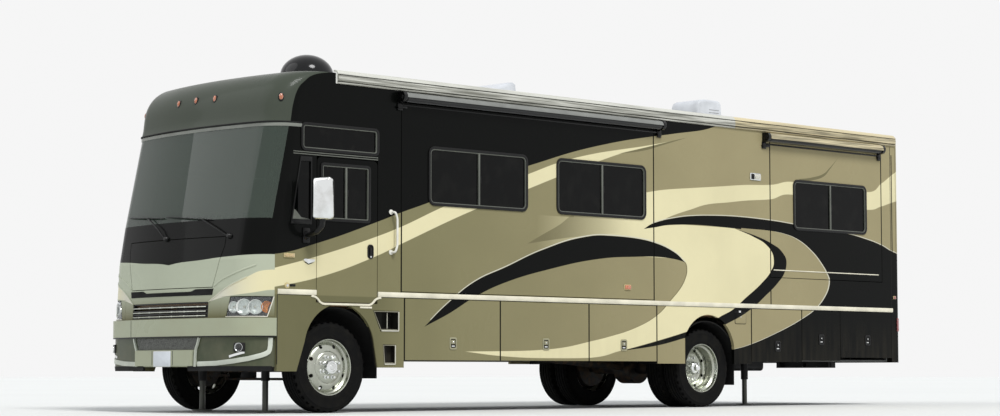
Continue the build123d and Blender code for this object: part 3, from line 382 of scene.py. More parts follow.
@kept
def coach_paint():
    """Body paint with the sweeps and stripes, under a clear coat."""
    look = bpy.context.scene.motorhome_paint
    made = Finish("coach_paint", look.taupe, 0.32)
    x, y, z = made.axes()
    across = made.sum("ABSOLUTE", x)
    back = made.sum("SUBTRACT", y, AXLE_Y)
    high = made.sum("SUBTRACT", z, LIFT)

    def between(low, top):
        """Between two lines over the same distance, and nowhere past their ends."""
        lower, upper = made.curve(back, low), made.curve(back, top)
        start, end = low[0][0], low[-1][0]
        return made.both(made.band(high, lower, upper), made.band(back, start, end))

    drop = made.curve(high, DROP_EDGE)
    inner = made.curve(high, BAND_INNER)
    outer = made.curve(high, BAND_OUTER)
    far = made.curve(high, OUTER_EDGE)
    rise = made.curve(back, RISE_TOP)
    field_low = made.curve(back, FIELD_LOW)
    # Painted light: the walls blend from painted shade at the front to painted sunlight at the rear, and
    # below the belt round the front wheel the lower taupe lays more painted shade
    wall = made.mix(made.ramp(back, 1.2, 6.0), look.taupe, look.sunlit_taupe)
    colour = made.mix(made.ramp(high, 1.16, 1.17), look.skirt_shade, wall)
    colour = made.mix(made.ramp(back, 0.55, 1.0), colour, wall)
    colour = made.mix(between(STRIPE_LOW, STRIPE_TOP), colour, look.cream)
    colour = made.mix(between(TIP_LOW, TIP_TOP), colour, look.shade)
    colour = made.mix(between(TAIL_LOW, TAIL_TOP), colour, look.shade)
    field = made.both(
        made.over(back, drop), made.over(inner, back), made.over(high, field_low), made.over(2.15, high)
    )
    field = made.sum("MAXIMUM", field, between(REAR_LOW, REAR_TOP))
    fade = made.sum("MAXIMUM", made.ramp(back, 2.9, 4.5), made.over(1.2, high))
    colour = made.mix(made.sum("MULTIPLY", field, fade), colour, look.cream)
    feather = made.sum("MULTIPLY", between(FEATHER_LOW, FEATHER_TOP), made.ramp(back, 3.0, 4.3, 0.9, 0))
    colour = made.mix(feather, colour, look.shade)
    dark = between(SWOOSH_LOW, SWOOSH_TOP)
    for shape in (between(WEDGE_LOW, FIELD_LOW[3:]), between(RISE_LOW, RISE_TOP[:6])):
        dark = made.sum("MAXIMUM", dark, shape)
    crescent = made.both(made.band(back, inner, outer), made.band(high, 0.9, 2.142))
    quarter = made.both(made.over(back, far), made.over(rise, high), made.over(back, 6.26))
    upper = made.over(high, made.curve(back, DARK_EDGE))
    # Thin light edges along the sweeps
    rim = made.both(made.band(back, made.sum("SUBTRACT", far, 0.022), far), made.band(high, 0.66, 2.14))
    lips = made.both(
        made.band(high, made.curve(back, SWOOSH_TOP), made.sum("ADD", made.curve(back, SWOOSH_TOP), 0.014)),
        made.band(back, 1.3, 5.387),
    )
    rear_lip = made.both(made.band(high, rise, made.sum("ADD", rise, 0.012)), made.band(back, 4.8, 9.63))
    drop_line = made.both(
        made.band(back, made.sum("SUBTRACT", drop, 0.016), drop), made.band(high, 0.7, 1.7),
        made.over(5.42, back),
    )
    for line in (rim, lips, rear_lip):
        colour = made.mix(line, colour, look.pin)
    colour = made.mix(drop_line, colour, look.shade)
    for shape in (crescent, quarter, upper):
        dark = made.sum("MAXIMUM", dark, shape)
    side = made.mix(dark, colour, look.dark)

    def joints(places):
        """Dark lines up the wall, between the doors or panels."""
        found = 0
        for place in places:
            found = made.sum("MAXIMUM", found, made.band(back, place - JOINT_HALF, place + JOINT_HALF))
        return found

    low_joints = made.both(joints(LOW_JOINTS), made.over(BELT_Z, high))
    tall_joints = made.both(joints(TALL_JOINTS), made.band(high, BELT_Z, JOINT_TOP))
    lines = made.sum("MAXIMUM", low_joints, tall_joints)
    side = made.mix(made.both(lines, made.over(x, 0)), side, look.dark)
    # Painted shade inside the two step wells: their walls are darkened
    wells = made.both(
        made.over(1.272, x), made.over(x, 0.9), made.band(back, 0.45, 0.9), made.band(high, 0.42, 1.05)
    )
    side = made.mix(wells, side, (0.02, 0.019, 0.016))
    # The nose
    # Painted shade: the nose darkens towards its bottom in the lower taupe
    nose = made.mix(made.ramp(high, 0.93, 1.25), look.skirt_shade, look.sage)
    stripe = made.band(high, made.curve(across, NOSE_STRIPE_LOW), made.curve(across, NOSE_STRIPE_TOP))
    leaf = made.mix(made.ramp(across, 0.85, 1.27), look.pin, look.cream)
    nose = made.mix(made.both(stripe, made.over(across, 0.68)), nose, leaf)
    nose = made.mix(made.over(high, made.curve(across, NOSE_DARK)), nose, look.dark)
    nose = made.mix(made.over(high, BROW_Z), nose, look.brow)
    front = made.over(made.curve(high, CAP_EDGE), back)
    colour = made.mix(front, side, nose)
    # Metal flakes, faint unevenness and road film low down
    flakes = made.cells(1 / look.flake)
    colour = made.mix(made.ramp(flakes, 0.1, 0.6, 0.1, 0), colour, (1.0, 1.0, 0.95), "SOFT_LIGHT")
    patch = made.noise(1.3, 4)
    colour = made.mix(made.ramp(patch, 0.35, 0.7, 0, 0.1), colour, (0.25, 0.23, 0.18), "MULTIPLY")
    streaks = made.noise(5.0, 4, (3.0, 3.0, 0.35))
    film = made.sum("MULTIPLY", made.ramp(high, 1.1, 0.45, 0, 0.07), made.ramp(streaks, 0.35, 0.75))
    colour = made.mix(film, colour, tone(136, 126, 104))
    made.set("Base Color", colour)
    made.set("Roughness", made.sum("ADD", made.ramp(patch, 0.3, 0.7, 0.24, 0.36), film))
    made.set("Specular IOR Level", 0.05)
    made.set("Coat Weight", 0.08)
    made.set("Coat Roughness", 0.05)
    made.bump(made.noise(1.1, 2), 0.004, 0.5)
    made.bump(made.noise(90, 2), 0.0002, 0.35)
    return made.material


@kept
def bumper_paint():
    """Metallic sage of the bumper, with painted shade in its recess."""
    look = bpy.context.scene.motorhome_paint
    made = Finish("bumper_paint", look.bumper, 0.34)
    x, z = made.axes()[0], made.axes()[2]
    pod = made.both(made.over(0.54, made.sum("ABSOLUTE", x)), made.over(0.655, z))
    # Painted shade: the bumper is darker below its upper band, all but the block in the middle
    recess = made.sum("SUBTRACT", made.ramp(z, 0.79, 0.784), pod, clamp=True)
    colour = made.mix(recess, look.bumper, tone(66, 72, 54))
    flakes = made.cells(1 / look.flake)
    colour = made.mix(made.ramp(flakes, 0.1, 0.6, 0.12, 0), colour, (1.0, 1.0, 0.95), "SOFT_LIGHT")
    dust = made.noise(3.0, 5)
    colour = made.mix(made.ramp(dust, 0.45, 0.75, 0, 0.22), colour, tone(150, 140, 116))
    made.set("Base Color", colour)
    made.wear(dust, 0.3, 0.7, 0.25, 0.45)
    made.set("Specular IOR Level", 0.15)
    made.set("Coat Weight", 0.15)
    made.bump(made.noise(90, 2), 0.0002, 0.4)
    return made.material


def dimmed(colour, share):
    return tuple(v * share for v in colour)


@kept
def satin(name, red, green, blue, rough, grain, metal=0):
    """A plain moulded or sprayed surface with a fine grain and faint dirt."""
    colour = tone(red, green, blue)
    made = Finish(name, colour, rough, metal)
    made.set("Specular IOR Level", 0.25)
    cloud = made.noise(4, 5)
    made.tint(cloud, 0.35, 0.75, colour, dimmed(colour, 0.72))
    made.wear(cloud, 0.3, 0.7, rough * 0.85, min(1.0, rough * 1.2))
    made.bump(made.noise(grain, 3), 0.0006, 0.5)
    return made.material


@kept
def polished(name, red, green, blue, rough):
    """Bright metal with fine turning marks and a little brake dust."""
    colour = tone(red, green, blue)
    made = Finish(name, colour, rough, 1.0)
    dirt = made.noise(7, 5)
    made.tint(dirt, 0.45, 0.8, colour, tone(150, 145, 134), 0.45)
    made.wear(dirt, 0.35, 0.75, rough, rough + 0.2)
    made.bump(made.noise(320, 2, (1.0, 0.2, 0.2)), 0.0002, 0.3)
    return made.material


@kept
def rubber():
    """Tyre rubber: near black, dusty, finely rough."""
    made = Finish("rubber", tone(30, 30, 30), 0.8)
    made.set("Specular IOR Level", 0.12)
    dust = made.noise(9, 6)
    made.tint(dust, 0.46, 0.8, tone(9, 9, 9), tone(50, 48, 42), 0.3)
    made.wear(dust, 0.3, 0.7, 0.68, 0.92)
    made.bump(made.noise(260, 3), 0.0006, 0.6)
    return made.material


@kept
def tinted_glass(name, red, green, blue, clear, glint=0.12):
    """Tinted glass with a faint dust film."""
    colour = tone(red, green, blue)
    made = Finish(name, colour, 0.02)
    made.set("Transmission Weight", clear)
    made.set("IOR", 1.45)
    made.set("Specular IOR Level", glint)
    dust = made.noise(6, 5)
    made.tint(dust, 0.5, 0.85, colour, tone(120, 118, 108), 0.04)
    made.wear(dust, 0.4, 0.8, 0, 0.02)
    return made.material


@kept
def lens(name, red, green, blue):
    """Ribbed lamp lens in one colour."""
    colour = tone(red, green, blue)
    made = Finish(name, colour, 0.12)
    made.set("Transmission Weight", 0.45)
    made.set("IOR", 1.5)
    ribs = add_node(made.tree, "ShaderNodeTexWave", Scale=60, Vector=made.place)
    made.bump(ribs.outputs["Fac"], 0.001, 0.5)
    made.tint(made.noise(40, 2), 0.3, 0.7, colour, (1, 1, 1), 0.3)
    made.set("Coat Weight", 0.6)
    return made.material


@kept
def fabric(name, red, green, blue):
    """Woven cloth: crossed threads and soft wear."""
    colour = tone(red, green, blue)
    made = Finish(name, colour, 0.9)
    made.tint(made.noise(5, 4), 0.35, 0.75, colour, dimmed(colour, 0.6))
    weave = made.sum("MULTIPLY", made.noise(500, 1, (1, 0.15, 1)), made.noise(500, 1, (1, 1, 0.15)))
    made.bump(weave, 0.001, 0.8)
    made.set("Sheen Weight", 0.3)
    return made.material


@kept
def leather(name, red, green, blue):
    """Soft leather: small creased cells and worn high spots."""
    colour = tone(red, green, blue)
    made = Finish(name, colour, 0.5)
    worn = made.noise(6, 4)
    made.tint(worn, 0.4, 0.8, colour, dimmed(colour, 0.65))
    made.bump(made.cells(240), 0.0008, 0.5)
    made.wear(worn, 0.3, 0.7, 0.42, 0.62)
    return made.material


@kept
def planks(name, red, green, blue):
    """Wood-look floor boards along the body."""
    colour = tone(red, green, blue)
    made = Finish(name, colour, 0.45)
    grain = made.noise(14, 6, (6.0, 0.35, 6.0))
    made.tint(grain, 0.3, 0.7, colour, dimmed(colour, 0.45))
    made.bump(grain, 0.0012, 0.5)
    made.wear(grain, 0.3, 0.7, 0.35, 0.55)
    return made.material


@kept
def cast(name, red, green, blue):
    """Cast or forged steel with scale, oil and road dirt."""
    colour = tone(red, green, blue)
    made = Finish(name, colour, 0.6, 0.35)
    scale = made.noise(12, 7)
    made.tint(scale, 0.45, 0.7, colour, tone(96, 78, 60))
    made.wear(scale, 0.3, 0.7, 0.45, 0.85)
    made.bump(made.noise(160, 4), 0.0015, 0.6)
    return made.material


@kept
def mesh_screen():
    """Black expanded mesh, drawn by its diamond holes."""
    made = Finish("bumper_mesh", tone(30, 31, 29), 0.5)
    holes = made.cells(85)
    made.tint(holes, 0.25, 0.45, tone(12, 12, 12), tone(70, 72, 66))
    made.wear(holes, 0.2, 0.5, 0.8, 0.4)
    made.bump(holes, 0.003, 0.9)
    return made.material


# Materials that more than one group uses
def black_trim():
    return satin("black_trim", 15, 15, 15, 0.32, 200)


def seal():
    return satin("seal_rubber", 20, 20, 20, 0.7, 260)


def chrome():
    return polished("chrome", 232, 234, 234, 0.05)


def belt_white():
    return satin("belt_white", 232, 226, 204, 0.25, 260)


def plate_white():
    return satin("plate_white", 214, 218, 222, 0.35, 260)


def lamp_glass():
    return tinted_glass("lamp_glass", 240, 244, 244, 0.98, 0.05)


def amber_lens():
    return lens("amber_lens", 226, 112, 26)


def red_lens():
    return lens("red_lens", 176, 20, 16)


def latch_well():
    return satin("latch_well", 12, 12, 12, 0.6, 200)


# Mesh helpers. Each shape is made on its own and then joined to the piece
def join(bm, part, material=0, turn=None):
    """Adds a finished shape to a piece."""
    if turn is not None:
        bmesh.ops.transform(part, matrix=turn, verts=part.verts[:])
    for face in part.faces:
        face.material_index = material
    mesh = bpy.data.meshes.new("joining")
    part.to_mesh(mesh)
    part.free()
    bm.from_mesh(mesh)
    bpy.data.meshes.remove(mesh)


def rounded(part, edges, width, segments=2):
    bmesh.ops.bevel(
        part, geom=edges, offset=width, segments=segments, affect="EDGES", profile=0.5, material=-1
    )


def block(bm, one, other, edge=0, material=0, segments=2, turn=None):
    """A box between two opposite corners, with rounded edges."""
    low, high = Vector(map(min, one, other)), Vector(map(max, one, other))
    part = bmesh.new()
    size = Matrix.Diagonal((*(high - low), 1))
    bmesh.ops.create_cube(part, size=1.0, matrix=Matrix.Translation((low + high) / 2) @ size)
    if edge:
        rounded(part, part.edges[:], edge, segments)
    join(bm, part, material, turn)


def barrel(bm, centre, radius, depth, sides, edge=0, material=0):
    """A cylinder that lies across, with rounded rims."""
    lay = Matrix.Translation(centre) @ Matrix.Rotation(pi / 2, 4, "Y")
    part = bmesh.new()
    bmesh.ops.create_cone(
        part, cap_ends=True, segments=sides, radius1=radius, radius2=radius, depth=depth, matrix=lay
    )
    if edge:
        rounded(part, list({e for f in part.faces if len(f.verts) == sides for e in f.edges}), edge)
    join(bm, part, material)


def spin_profile(part, profile, centre, direction, steps, closed):
    """Spins a profile of (along, radius) points about an axis through a centre."""
    centre, direction = Vector(centre), Vector(direction).normalized()
    outward = direction.orthogonal().normalized()
    spots = [part.verts.new(centre + direction * out + outward * radius) for out, radius in profile]
    pairs = list(zip(spots, spots[1:]))
    if closed:
        pairs.append((spots[-1], spots[0]))
    edges = [part.edges.new(pair) for pair in pairs]
    bmesh.ops.spin(
        part, geom=spots + edges, cent=centre, axis=direction, angle=2 * pi, steps=steps, use_merge=True,
        use_duplicate=False,
    )
    bmesh.ops.remove_doubles(part, verts=part.verts[:], dist=1e-5)
    bmesh.ops.dissolve_degenerate(part, edges=part.edges[:], dist=1e-6)


def spun(bm, profile, centre, direction, steps=48, material=0, closed=False, turn=None):
    part = bmesh.new()
    spin_profile(part, profile, centre, direction, steps, closed)
    join(bm, part, material, turn)


def outline(width, height, corner, steps=6):
    """Points round a rounded rectangle about the middle."""
    points = []
    for cx, cy, start in ((1, 1, 0), (-1, 1, 90), (-1, -1, 180), (1, -1, 270)):
        for i in range(steps + 1):
            angle = radians(start + 90 * i / steps)
            u, v = corner * cos(angle), corner * sin(angle)
            points.append((cx * (width / 2 - corner) + u, cy * (height / 2 - corner) + v))
    return points


def plate(bm, points, depth, spot, edge=0, material=0, hole=()):
    """A flat shape pushed out by a depth. spot turns a point of the shape and a height into a place."""
    part = bmesh.new()
    loop = [part.verts.new(spot(u, v, 0)) for u, v in points]
    rim = [part.edges.new(pair) for pair in zip(loop, loop[1:] + loop[:1])]
    if hole:
        inner = [part.verts.new(spot(u, v, 0)) for u, v in hole]
        bore = [part.edges.new(pair) for pair in zip(inner, inner[1:] + inner[:1])]
        faces = bmesh.ops.bridge_loops(part, edges=rim + bore)["faces"]
    else:
        faces = [part.faces.new(loop)]
    pushed = bmesh.ops.extrude_face_region(part, geom=faces)["geom"]
    step = Vector(spot(0, 0, depth)) - Vector(spot(0, 0, 0))
    bmesh.ops.translate(part, verts=[g for g in pushed if isinstance(g, bmesh.types.BMVert)], vec=step)
    if edge:
        top = {g for g in pushed if isinstance(g, bmesh.types.BMFace)}
        border = {e for f in top for e in f.edges if not all(x in top for x in e.link_faces)}
        rounded(part, list(border), edge)
    join(bm, part, material)


def ring(bm, outer, inner, depth, spot, edge=0, material=0):
    """A flat frame between two rounded rectangles, each given by width, height and corner."""
    plate(bm, outline(*outer), depth, spot, edge, material, outline(*inner))


def wall_spot(side, middle_y, middle_z, off=0):
    """Places a flat shape on a side wall: u runs back, v runs up and height stands out."""

    def spot(u, v, height):
        return (side * (SIDE_X + off + height), middle_y + u, middle_z + v)

    return spot


def loft(bm, part, rings, material=0):
    """Joins closed rings of vertices one after another and closes both ends."""
    for loop in rings:
        for pair in zip(loop, loop[1:] + loop[:1]):
            part.edges.new(pair)
    for first, second in zip(rings, rings[1:]):
        edges = [part.edges.get(p) for loop in (first, second) for p in zip(loop, loop[1:] + loop[:1])]
        bmesh.ops.bridge_loops(part, edges=edges)
    part.faces.new(rings[0][::-1])
    part.faces.new(rings[-1])
    join(bm, part, material)


def swept(bm, path, shape, material=0):
    """Pushes a closed shape of (sideways, up) points along a path, square to it at each point."""
    part = bmesh.new()
    rings = []
    path = [Vector(p) for p in path]
    up = Vector((0, 0, 1))
    for i, here in enumerate(path):
        ahead = (path[min(i + 1, len(path) - 1)] - path[max(i - 1, 0)]).normalized()
        if i == 0 and abs(ahead.z) > 0.9:
            up = Vector((0, 1, 0))
        sideways = ahead.cross(up).normalized()
        up = sideways.cross(ahead).normalized()
        rings.append([part.verts.new(here + sideways * u + up * v) for u, v in shape])
    loft(bm, part, rings, material)


def strip(half_u, half_v):
    """Corners of a flat bar's section."""
    return [(-half_u, -half_v), (half_u, -half_v), (half_u, half_v), (-half_u, half_v)]


def ridged(back, face, crest, half):
    """Corners of a section with a raised middle."""
    return [(-back, -half), (face, -half), (crest, 0), (face, half), (-back, half)]


def circle(radius, sides):
    return [(radius * cos(2 * pi * i / sides), radius * sin(2 * pi * i / sides)) for i in range(sides)]


def bent(points, corner, steps=5):
    """A path with its corners rounded."""
    path = [Vector(points[0])]
    for a, b, c in zip(points, points[1:], points[2:]):
        a, b, c = Vector(a), Vector(b), Vector(c)
        start = b + (a - b).normalized() * corner
        end = b + (c - b).normalized() * corner
        for i in range(steps + 1):
            t = i / steps
            path.append(start * (1 - t) ** 2 + b * 2 * t * (1 - t) + end * t**2)
    path.append(Vector(points[-1]))
    return path


def walked(points, count):
    """Points spread evenly between each point of a line and the next, count to each stretch."""
    path = []
    for start, end in zip(points, points[1:]):
        path += [tuple(a + (b - a) * i / count for a, b in zip(start, end)) for i in range(count)]
    return path


def carve(part, cutter):
    """Takes one closed shape out of another and gives back what is left."""
    shapes = []
    for shape in (part, cutter):
        bmesh.ops.recalc_face_normals(shape, faces=shape.faces[:])
        mesh = bpy.data.meshes.new("carving")
        shape.to_mesh(mesh)
        shape.free()
        shapes.append(bpy.data.objects.new("carving", mesh))
        bpy.context.scene.collection.objects.link(shapes[-1])
    change = shapes[0].modifiers.new("Cut", "BOOLEAN")
    change.operation = "DIFFERENCE"
    change.solver = "EXACT"
    change.object = shapes[1]
    whole = shapes[0].evaluated_get(bpy.context.evaluated_depsgraph_get())
    left = bmesh.new()
    left.from_mesh(whole.to_mesh())
    for shape in shapes:
        mesh = shape.data
        bpy.data.objects.remove(shape)
        bpy.data.meshes.remove(mesh)
    return left


def patch(bm, place, columns, rows, depth, material=0):
    """A grid laid on a curved surface and given a depth. place turns u, v and a depth into a point."""
    part = bmesh.new()
    flat = bmesh.ops.create_grid(part, x_segments=columns, y_segments=rows, size=0.5)["verts"]
    pushed = bmesh.ops.extrude_face_region(part, geom=part.faces[:])["geom"]
    far = {g for g in pushed if isinstance(g, bmesh.types.BMVert)}
    for vert in set(flat) | far:
        vert.co = place(vert.co.x + 0.5, vert.co.y + 0.5, depth if vert in far else 0)
    join(bm, part, material)


def add_piece(name, bm, body, materials, replaces=(), smooth=35):
    """Turns a bmesh into a finished piece that rides on a body."""
    bmesh.ops.recalc_face_normals(bm, faces=bm.faces[:])
    mesh = bpy.data.meshes.new(name)
    bm.to_mesh(mesh)
    bm.free()
    for material in materials:
        mesh.materials.append(material)
    piece = bpy.data.objects.new(name, mesh)
    bpy.context.scene.collection.objects.link(piece)
    mesh.shade_smooth()
    mesh.set_sharp_from_angle(angle=radians(smooth))
    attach(piece, body)
    if replaces:
        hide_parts(*replaces)
    return piece


def dress(material, *nodes):
    """Gives CAD nodes a material."""
    for node in nodes:
        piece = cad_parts[node]
        piece.data.materials.clear()
        piece.data.materials.append(material)


# The nose's outer face
NOSE_ROWS = ((0.97, -1.235), (1.565, -1.205), (1.985, -1.135), (2.975, -0.925))
BROW_ROUND = 0.42
BROW_ROWS = [(2.975, -0.945)] + [
    (3.12 + BROW_ROUND * sin(radians(a)), -0.91 + BROW_ROUND * (1 - cos(radians(a))))
    for a in (0, 14, 28, 40, 52, 62, 72, 84)
]
CROWN = 5.3
CORNER = 0.32


def read_rows(rows, z):
    for (z0, v0), (z1, v1) in zip(rows, rows[1:]):
        if z <= z1 or (z1, v1) == rows[-1]:
            return v0 + (v1 - v0) * (z - z0) / (z1 - z0)


def nose_arcs(front):
    """The nose's outline for a given front: middles of its wide arc and corner arc, and where they meet."""
    across = SIDE_X - CORNER
    middle = AXLE_Y + front + CROWN
    corner_y = middle - sqrt((CROWN - CORNER) ** 2 - across**2)
    return middle, (across, corner_y), atan2(across, middle - corner_y)


def nose_y(x, front):
    """How far forward the nose's outline reaches at a distance from the middle."""
    middle, (across, corner_y), turn = nose_arcs(front)
    x = abs(x)
    if x <= CROWN * sin(turn):
        return middle - sqrt(CROWN**2 - x**2)
    return corner_y - sqrt(max(CORNER**2 - (x - across) ** 2, 0))


def nose_point(x, z, out=0, rows=NOSE_ROWS):
    return (x, nose_y(x, read_rows(rows, z) - out), z)


class BodyPaint(bpy.types.Operator):
    """Give the walls, doors, caps and rooms their paint"""

    bl_idname = "motorhome.body_paint"
    bl_label = "Body paint"

    def execute(self, context):
        dress(
            coach_paint(),
            "left_wall", "right_wall", "skirts", "front_cap", "rear_cap", "hood", "driver_door", "entry_door",
            "front_slide_room", "rear_slide_room", *(f"left_bay_door_{i}" for i in range(1, 7)),
            "right_bay_door_1", "right_bay_door_2",
        )
        dress(bumper_paint(), "front_bumper")
        dress(satin("roof_skin", 224, 223, 216, 0.5, 60), "roof")
        dress(
            tinted_glass("side_glass", 3, 4, 4, 0.3, 0.04), "side_windows", "front_slide_windows",
            "rear_slide_windows", "driver_door_glass", "entry_door_glass",
        )
        dress(tinted_glass("screen_glass", 78, 90, 80, 0.55), "windshield")
        return {"FINISHED"}


class Underbody(bpy.types.Operator):
    """Finish the frame, axles, liners, floor and storage bays"""

    bl_idname = "motorhome.underbody"
    bl_label = "Underbody"

    def execute(self, context):
        dress(satin("frame_black", 30, 30, 31, 0.55, 80), "chassis_frame", "hitch_receiver", "entry_step")
        dress(cast("axle_iron", 46, 44, 42), "front_axle", "rear_axle", "leaf_springs")
        dress(cast("knuckle_iron", 60, 58, 56), "left_knuckle", "right_knuckle", "tie_rod")
        dress(cast("engine_iron", 84, 84, 86), "engine_block")
        dress(satin("tank_plastic", 24, 24, 25, 0.5, 90), "fuel_tank")
        dress(planks("floor_boards", 150, 116, 78), "floor")
        dress(satin("bay_lining", 96, 96, 94, 0.8, 300), "basement_bays", "entry_well")
        dress(satin("liner_black", 17, 17, 17, 0.85, 120), "wheel_liners")
        dress(satin("jack_steel", 84, 85, 80, 0.35, 160, 0.6), "jack_legs")
        dress(satin("dash_plastic", 92, 84, 70, 0.6, 260), "dashboard")
        return {"FINISHED"}


class Stage(bpy.types.Operator):
    """Add the floor, the soft light and the camera"""

    bl_idname = "motorhome.stage"
    bl_label = "Stage"

    def execute(self, context):
        look = context.scene.motorhome_stage
        bm = bmesh.new()
        bmesh.ops.create_grid(bm, x_segments=1, y_segments=1, size=150)
        mesh = bpy.data.meshes.new("ground")
        bm.to_mesh(mesh)
        bm.free()
        ground = bpy.data.objects.new("ground", mesh)
        context.scene.collection.objects.link(ground)
        ground.location.z = -0.002
        paint = Finish("ground_paint", tone(226, 226, 222), 0.9)
        paint.tint(paint.noise(0.12, 2), 0.3, 0.7, tone(227, 227, 223), tone(224, 224, 220))
        mesh.materials.append(paint.material)
        world = bpy.data.worlds.new("soft_sky")
        context.scene.world = world
        world.use_nodes = True
        tree = world.node_tree
        tree.nodes.clear()
        # Bluish light on the part, white where it is seen straight, in a mirror or through glass
        sky = add_node(tree, "ShaderNodeBackground", Color=(0.8, 0.86, 0.95, 1), Strength=0.55)
        backdrop = add_node(tree, "ShaderNodeBackground", Color=(1, 1, 1, 1), Strength=0.92)
        path = tree.nodes.new("ShaderNodeLightPath").outputs
        seen = arithmetic(tree, "MAXIMUM", path["Is Camera Ray"], path["Is Glossy Ray"])
        seen = arithmetic(tree, "MAXIMUM", seen, path["Is Transmission Ray"])
        choice = tree.nodes.new("ShaderNodeMixShader")
        for i, value in enumerate((seen, sky.outputs[0], backdrop.outputs[0])):
            feed(tree, choice, i, value)
        add_node(tree, "ShaderNodeOutputWorld", Surface=choice.outputs[0])
        for name, spot, turn, strength, size in (
            ("sun", (14, 2, 16), (radians(38), 0, radians(82)), look.sun, 0.35),
            ("fill", (-12, -18, 12), (radians(55), 0, radians(-35)), look.sun * 0.3, 0.9),
        ):
            light = bpy.data.lights.new(name, "SUN")
            light.energy = strength
            light.angle = size
            lamp = bpy.data.objects.new(name, light)
            lamp.location = spot
            lamp.rotation_euler = turn
            context.scene.collection.objects.link(lamp)
        camera = bpy.data.cameras.new("photo_camera")
        camera.lens = look.focal
        camera.sensor_width = 36
        camera.clip_end = 500
        seen_from = bpy.data.objects.new("photo_camera", camera)
        seen_from.location = CAMERA_PLACE
        seen_from.rotation_euler = (pi / 2 + look.rise, 0, look.turn)
        context.scene.collection.objects.link(seen_from)
        context.scene.camera = seen_from
        context.scene.view_settings.view_transform = "Standard"
        return {"FINISHED"}


def corner_outline(front, start, back, out=0):
    """The nose's outline from a distance off the middle, round the corner and back along the side."""
    crown, corner = CROWN + out, CORNER + out
    middle, (across, corner_y), turn = nose_arcs(front)
    steps = 10
    points = []
    for i in range(steps + 1):
        x = start + (crown * sin(turn) - start) * i / steps
        points.append((x, middle - sqrt(crown**2 - x**2)))
    for i in range(1, steps + 1):
        angle = turn + (pi / 2 - turn) * i / steps
        points.append((across + corner * sin(angle), corner_y - corner * cos(angle)))
    points.append((SIDE_X + out, AXLE_Y + back))
    return points


def along(points, share):
    """A place a share of the way along an outline."""
    lengths = [hypot(b[0] - a[0], b[1] - a[1]) for a, b in zip(points, points[1:])]
    left = share * sum(lengths)
    for (a, b), length in zip(zip(points, points[1:]), lengths):
        if left <= length or b == points[-1]:
            t = left / length
            return a[0] + (b[0] - a[0]) * t, a[1] + (b[1] - a[1]) * t
        left -= length


# Sections of the wheels as (out, radius) points, out from the wheel's middle
TYRE_HALF, TYRE_BEAD = 0.1175, 0.288
BARREL = (
    (0.105, 0.2985), (0.1035, 0.3025), (0.0975, 0.3025), (0.093, 0.29), (0.06, 0.286), (0.045, 0.266),
    (-0.045, 0.266), (-0.06, 0.286), (-0.093, 0.29), (-0.0975, 0.3025), (-0.1035, 0.3025), (-0.105, 0.2985),
    (-0.099, 0.284), (-0.064, 0.277), (-0.046, 0.256), (0.046, 0.256), (0.064, 0.277), (0.099, 0.284),
)
FRONT_DISC = (
    (0.03, 0.2575), (0.048, 0.2575), (0.06, 0.246), (0.071, 0.225), (0.079, 0.2), (0.082, 0.18),
    (0.08, 0.17), (0.089, 0.162), (0.094, 0.152), (0.096, 0.12), (0.098, 0.06), (0.08, 0.06),
    (0.078, 0.15), (0.066, 0.168), (0.06, 0.2), (0.044, 0.238),
)
DEEP_DISC = (
    (-0.06, 0.2565), (-0.082, 0.252), (-0.092, 0.235), (-0.088, 0.205), (-0.084, 0.185), (-0.096, 0.165),
    (-0.098, 0.06), (-0.112, 0.06), (-0.11, 0.168), (-0.098, 0.19), (-0.103, 0.235), (-0.092, 0.2565),
)
FRONT_HUB = (
    (0.07, 0), (0.07, 0.082), (0.1, 0.08), (0.146, 0.074), (0.156, 0.066), (0.158, 0.048), (0.15, 0.042),
    (0.15, 0.026), (0.156, 0.02), (0.156, 0),
)
DEEP_HUB = (
    (-0.115, 0), (-0.115, 0.098), (-0.09, 0.092), (-0.03, 0.08), (0, 0.07), (0.01, 0.058),
    (0.012, 0.04), (0.044, 0.036), (0.05, 0.028), (0.05, 0),
)
FRONT_DRUM = ((-0.075, 0), (-0.075, 0.205), (0.035, 0.215), (0.05, 0.16), (0.072, 0))
REAR_DRUM = ((-0.1, 0), (-0.1, 0.225), (0.06, 0.23), (0.08, 0.17), (0.1, 0))


def add_tyre(bm, centre, side, look):
    """One tyre: bulged walls with raised rings, grooved tread and notched shoulders."""
    half, radius, bead = TYRE_HALF, WHEEL_Z, TYRE_BEAD
    wall = [
        (-0.8, bead), (-0.96, bead + 0.01), (-0.975, bead + 0.028), (-0.995, bead + 0.031),
        (-0.995, bead + 0.037), (-0.985, bead + 0.041), (-1.0, (radius + bead) / 2), (-0.995, radius - 0.06),
        (-1.005, radius - 0.056), (-1.005, radius - 0.05), (-0.975, radius - 0.046), (-0.93, radius - 0.02),
        (-0.86, radius - 0.006), (-0.72, radius - 0.001),
    ]
    tread = []
    count = look.tread_grooves
    for i in range(count):
        middle = -0.56 + 1.12 * i / (count - 1)
        for step, drop in ((-0.055, 0), (-0.04, look.groove_depth), (0.04, look.groove_depth), (0.055, 0)):
            tread.append((middle + step, radius - drop))
    profile = wall + tread + [(-out, r) for out, r in reversed(wall)]
    steps = 72
    part = bmesh.new()
    spin_profile(part, [(out * half, r) for out, r in profile], centre, (side, 0, 0), steps, True)
    notched = []
    for face in part.faces:
        spot = face.calc_center_median() - Vector(centre)
        far = hypot(spot.y, spot.z)
        index = int(atan2(spot.y, spot.z) / (2 * pi / steps) + 500)
        if radius - 0.016 < far < radius - 0.001 and abs(spot.x) > 0.72 * half and index % 2:
            notched.append(face)
    for face in bmesh.ops.extrude_discrete_faces(part, faces=notched)["faces"]:
        inward = face.calc_center_median() - Vector(centre)
        inward.x = 0
        bmesh.ops.translate(part, verts=face.verts[:], vec=-inward.normalized() * 0.009)
    join(bm, part)


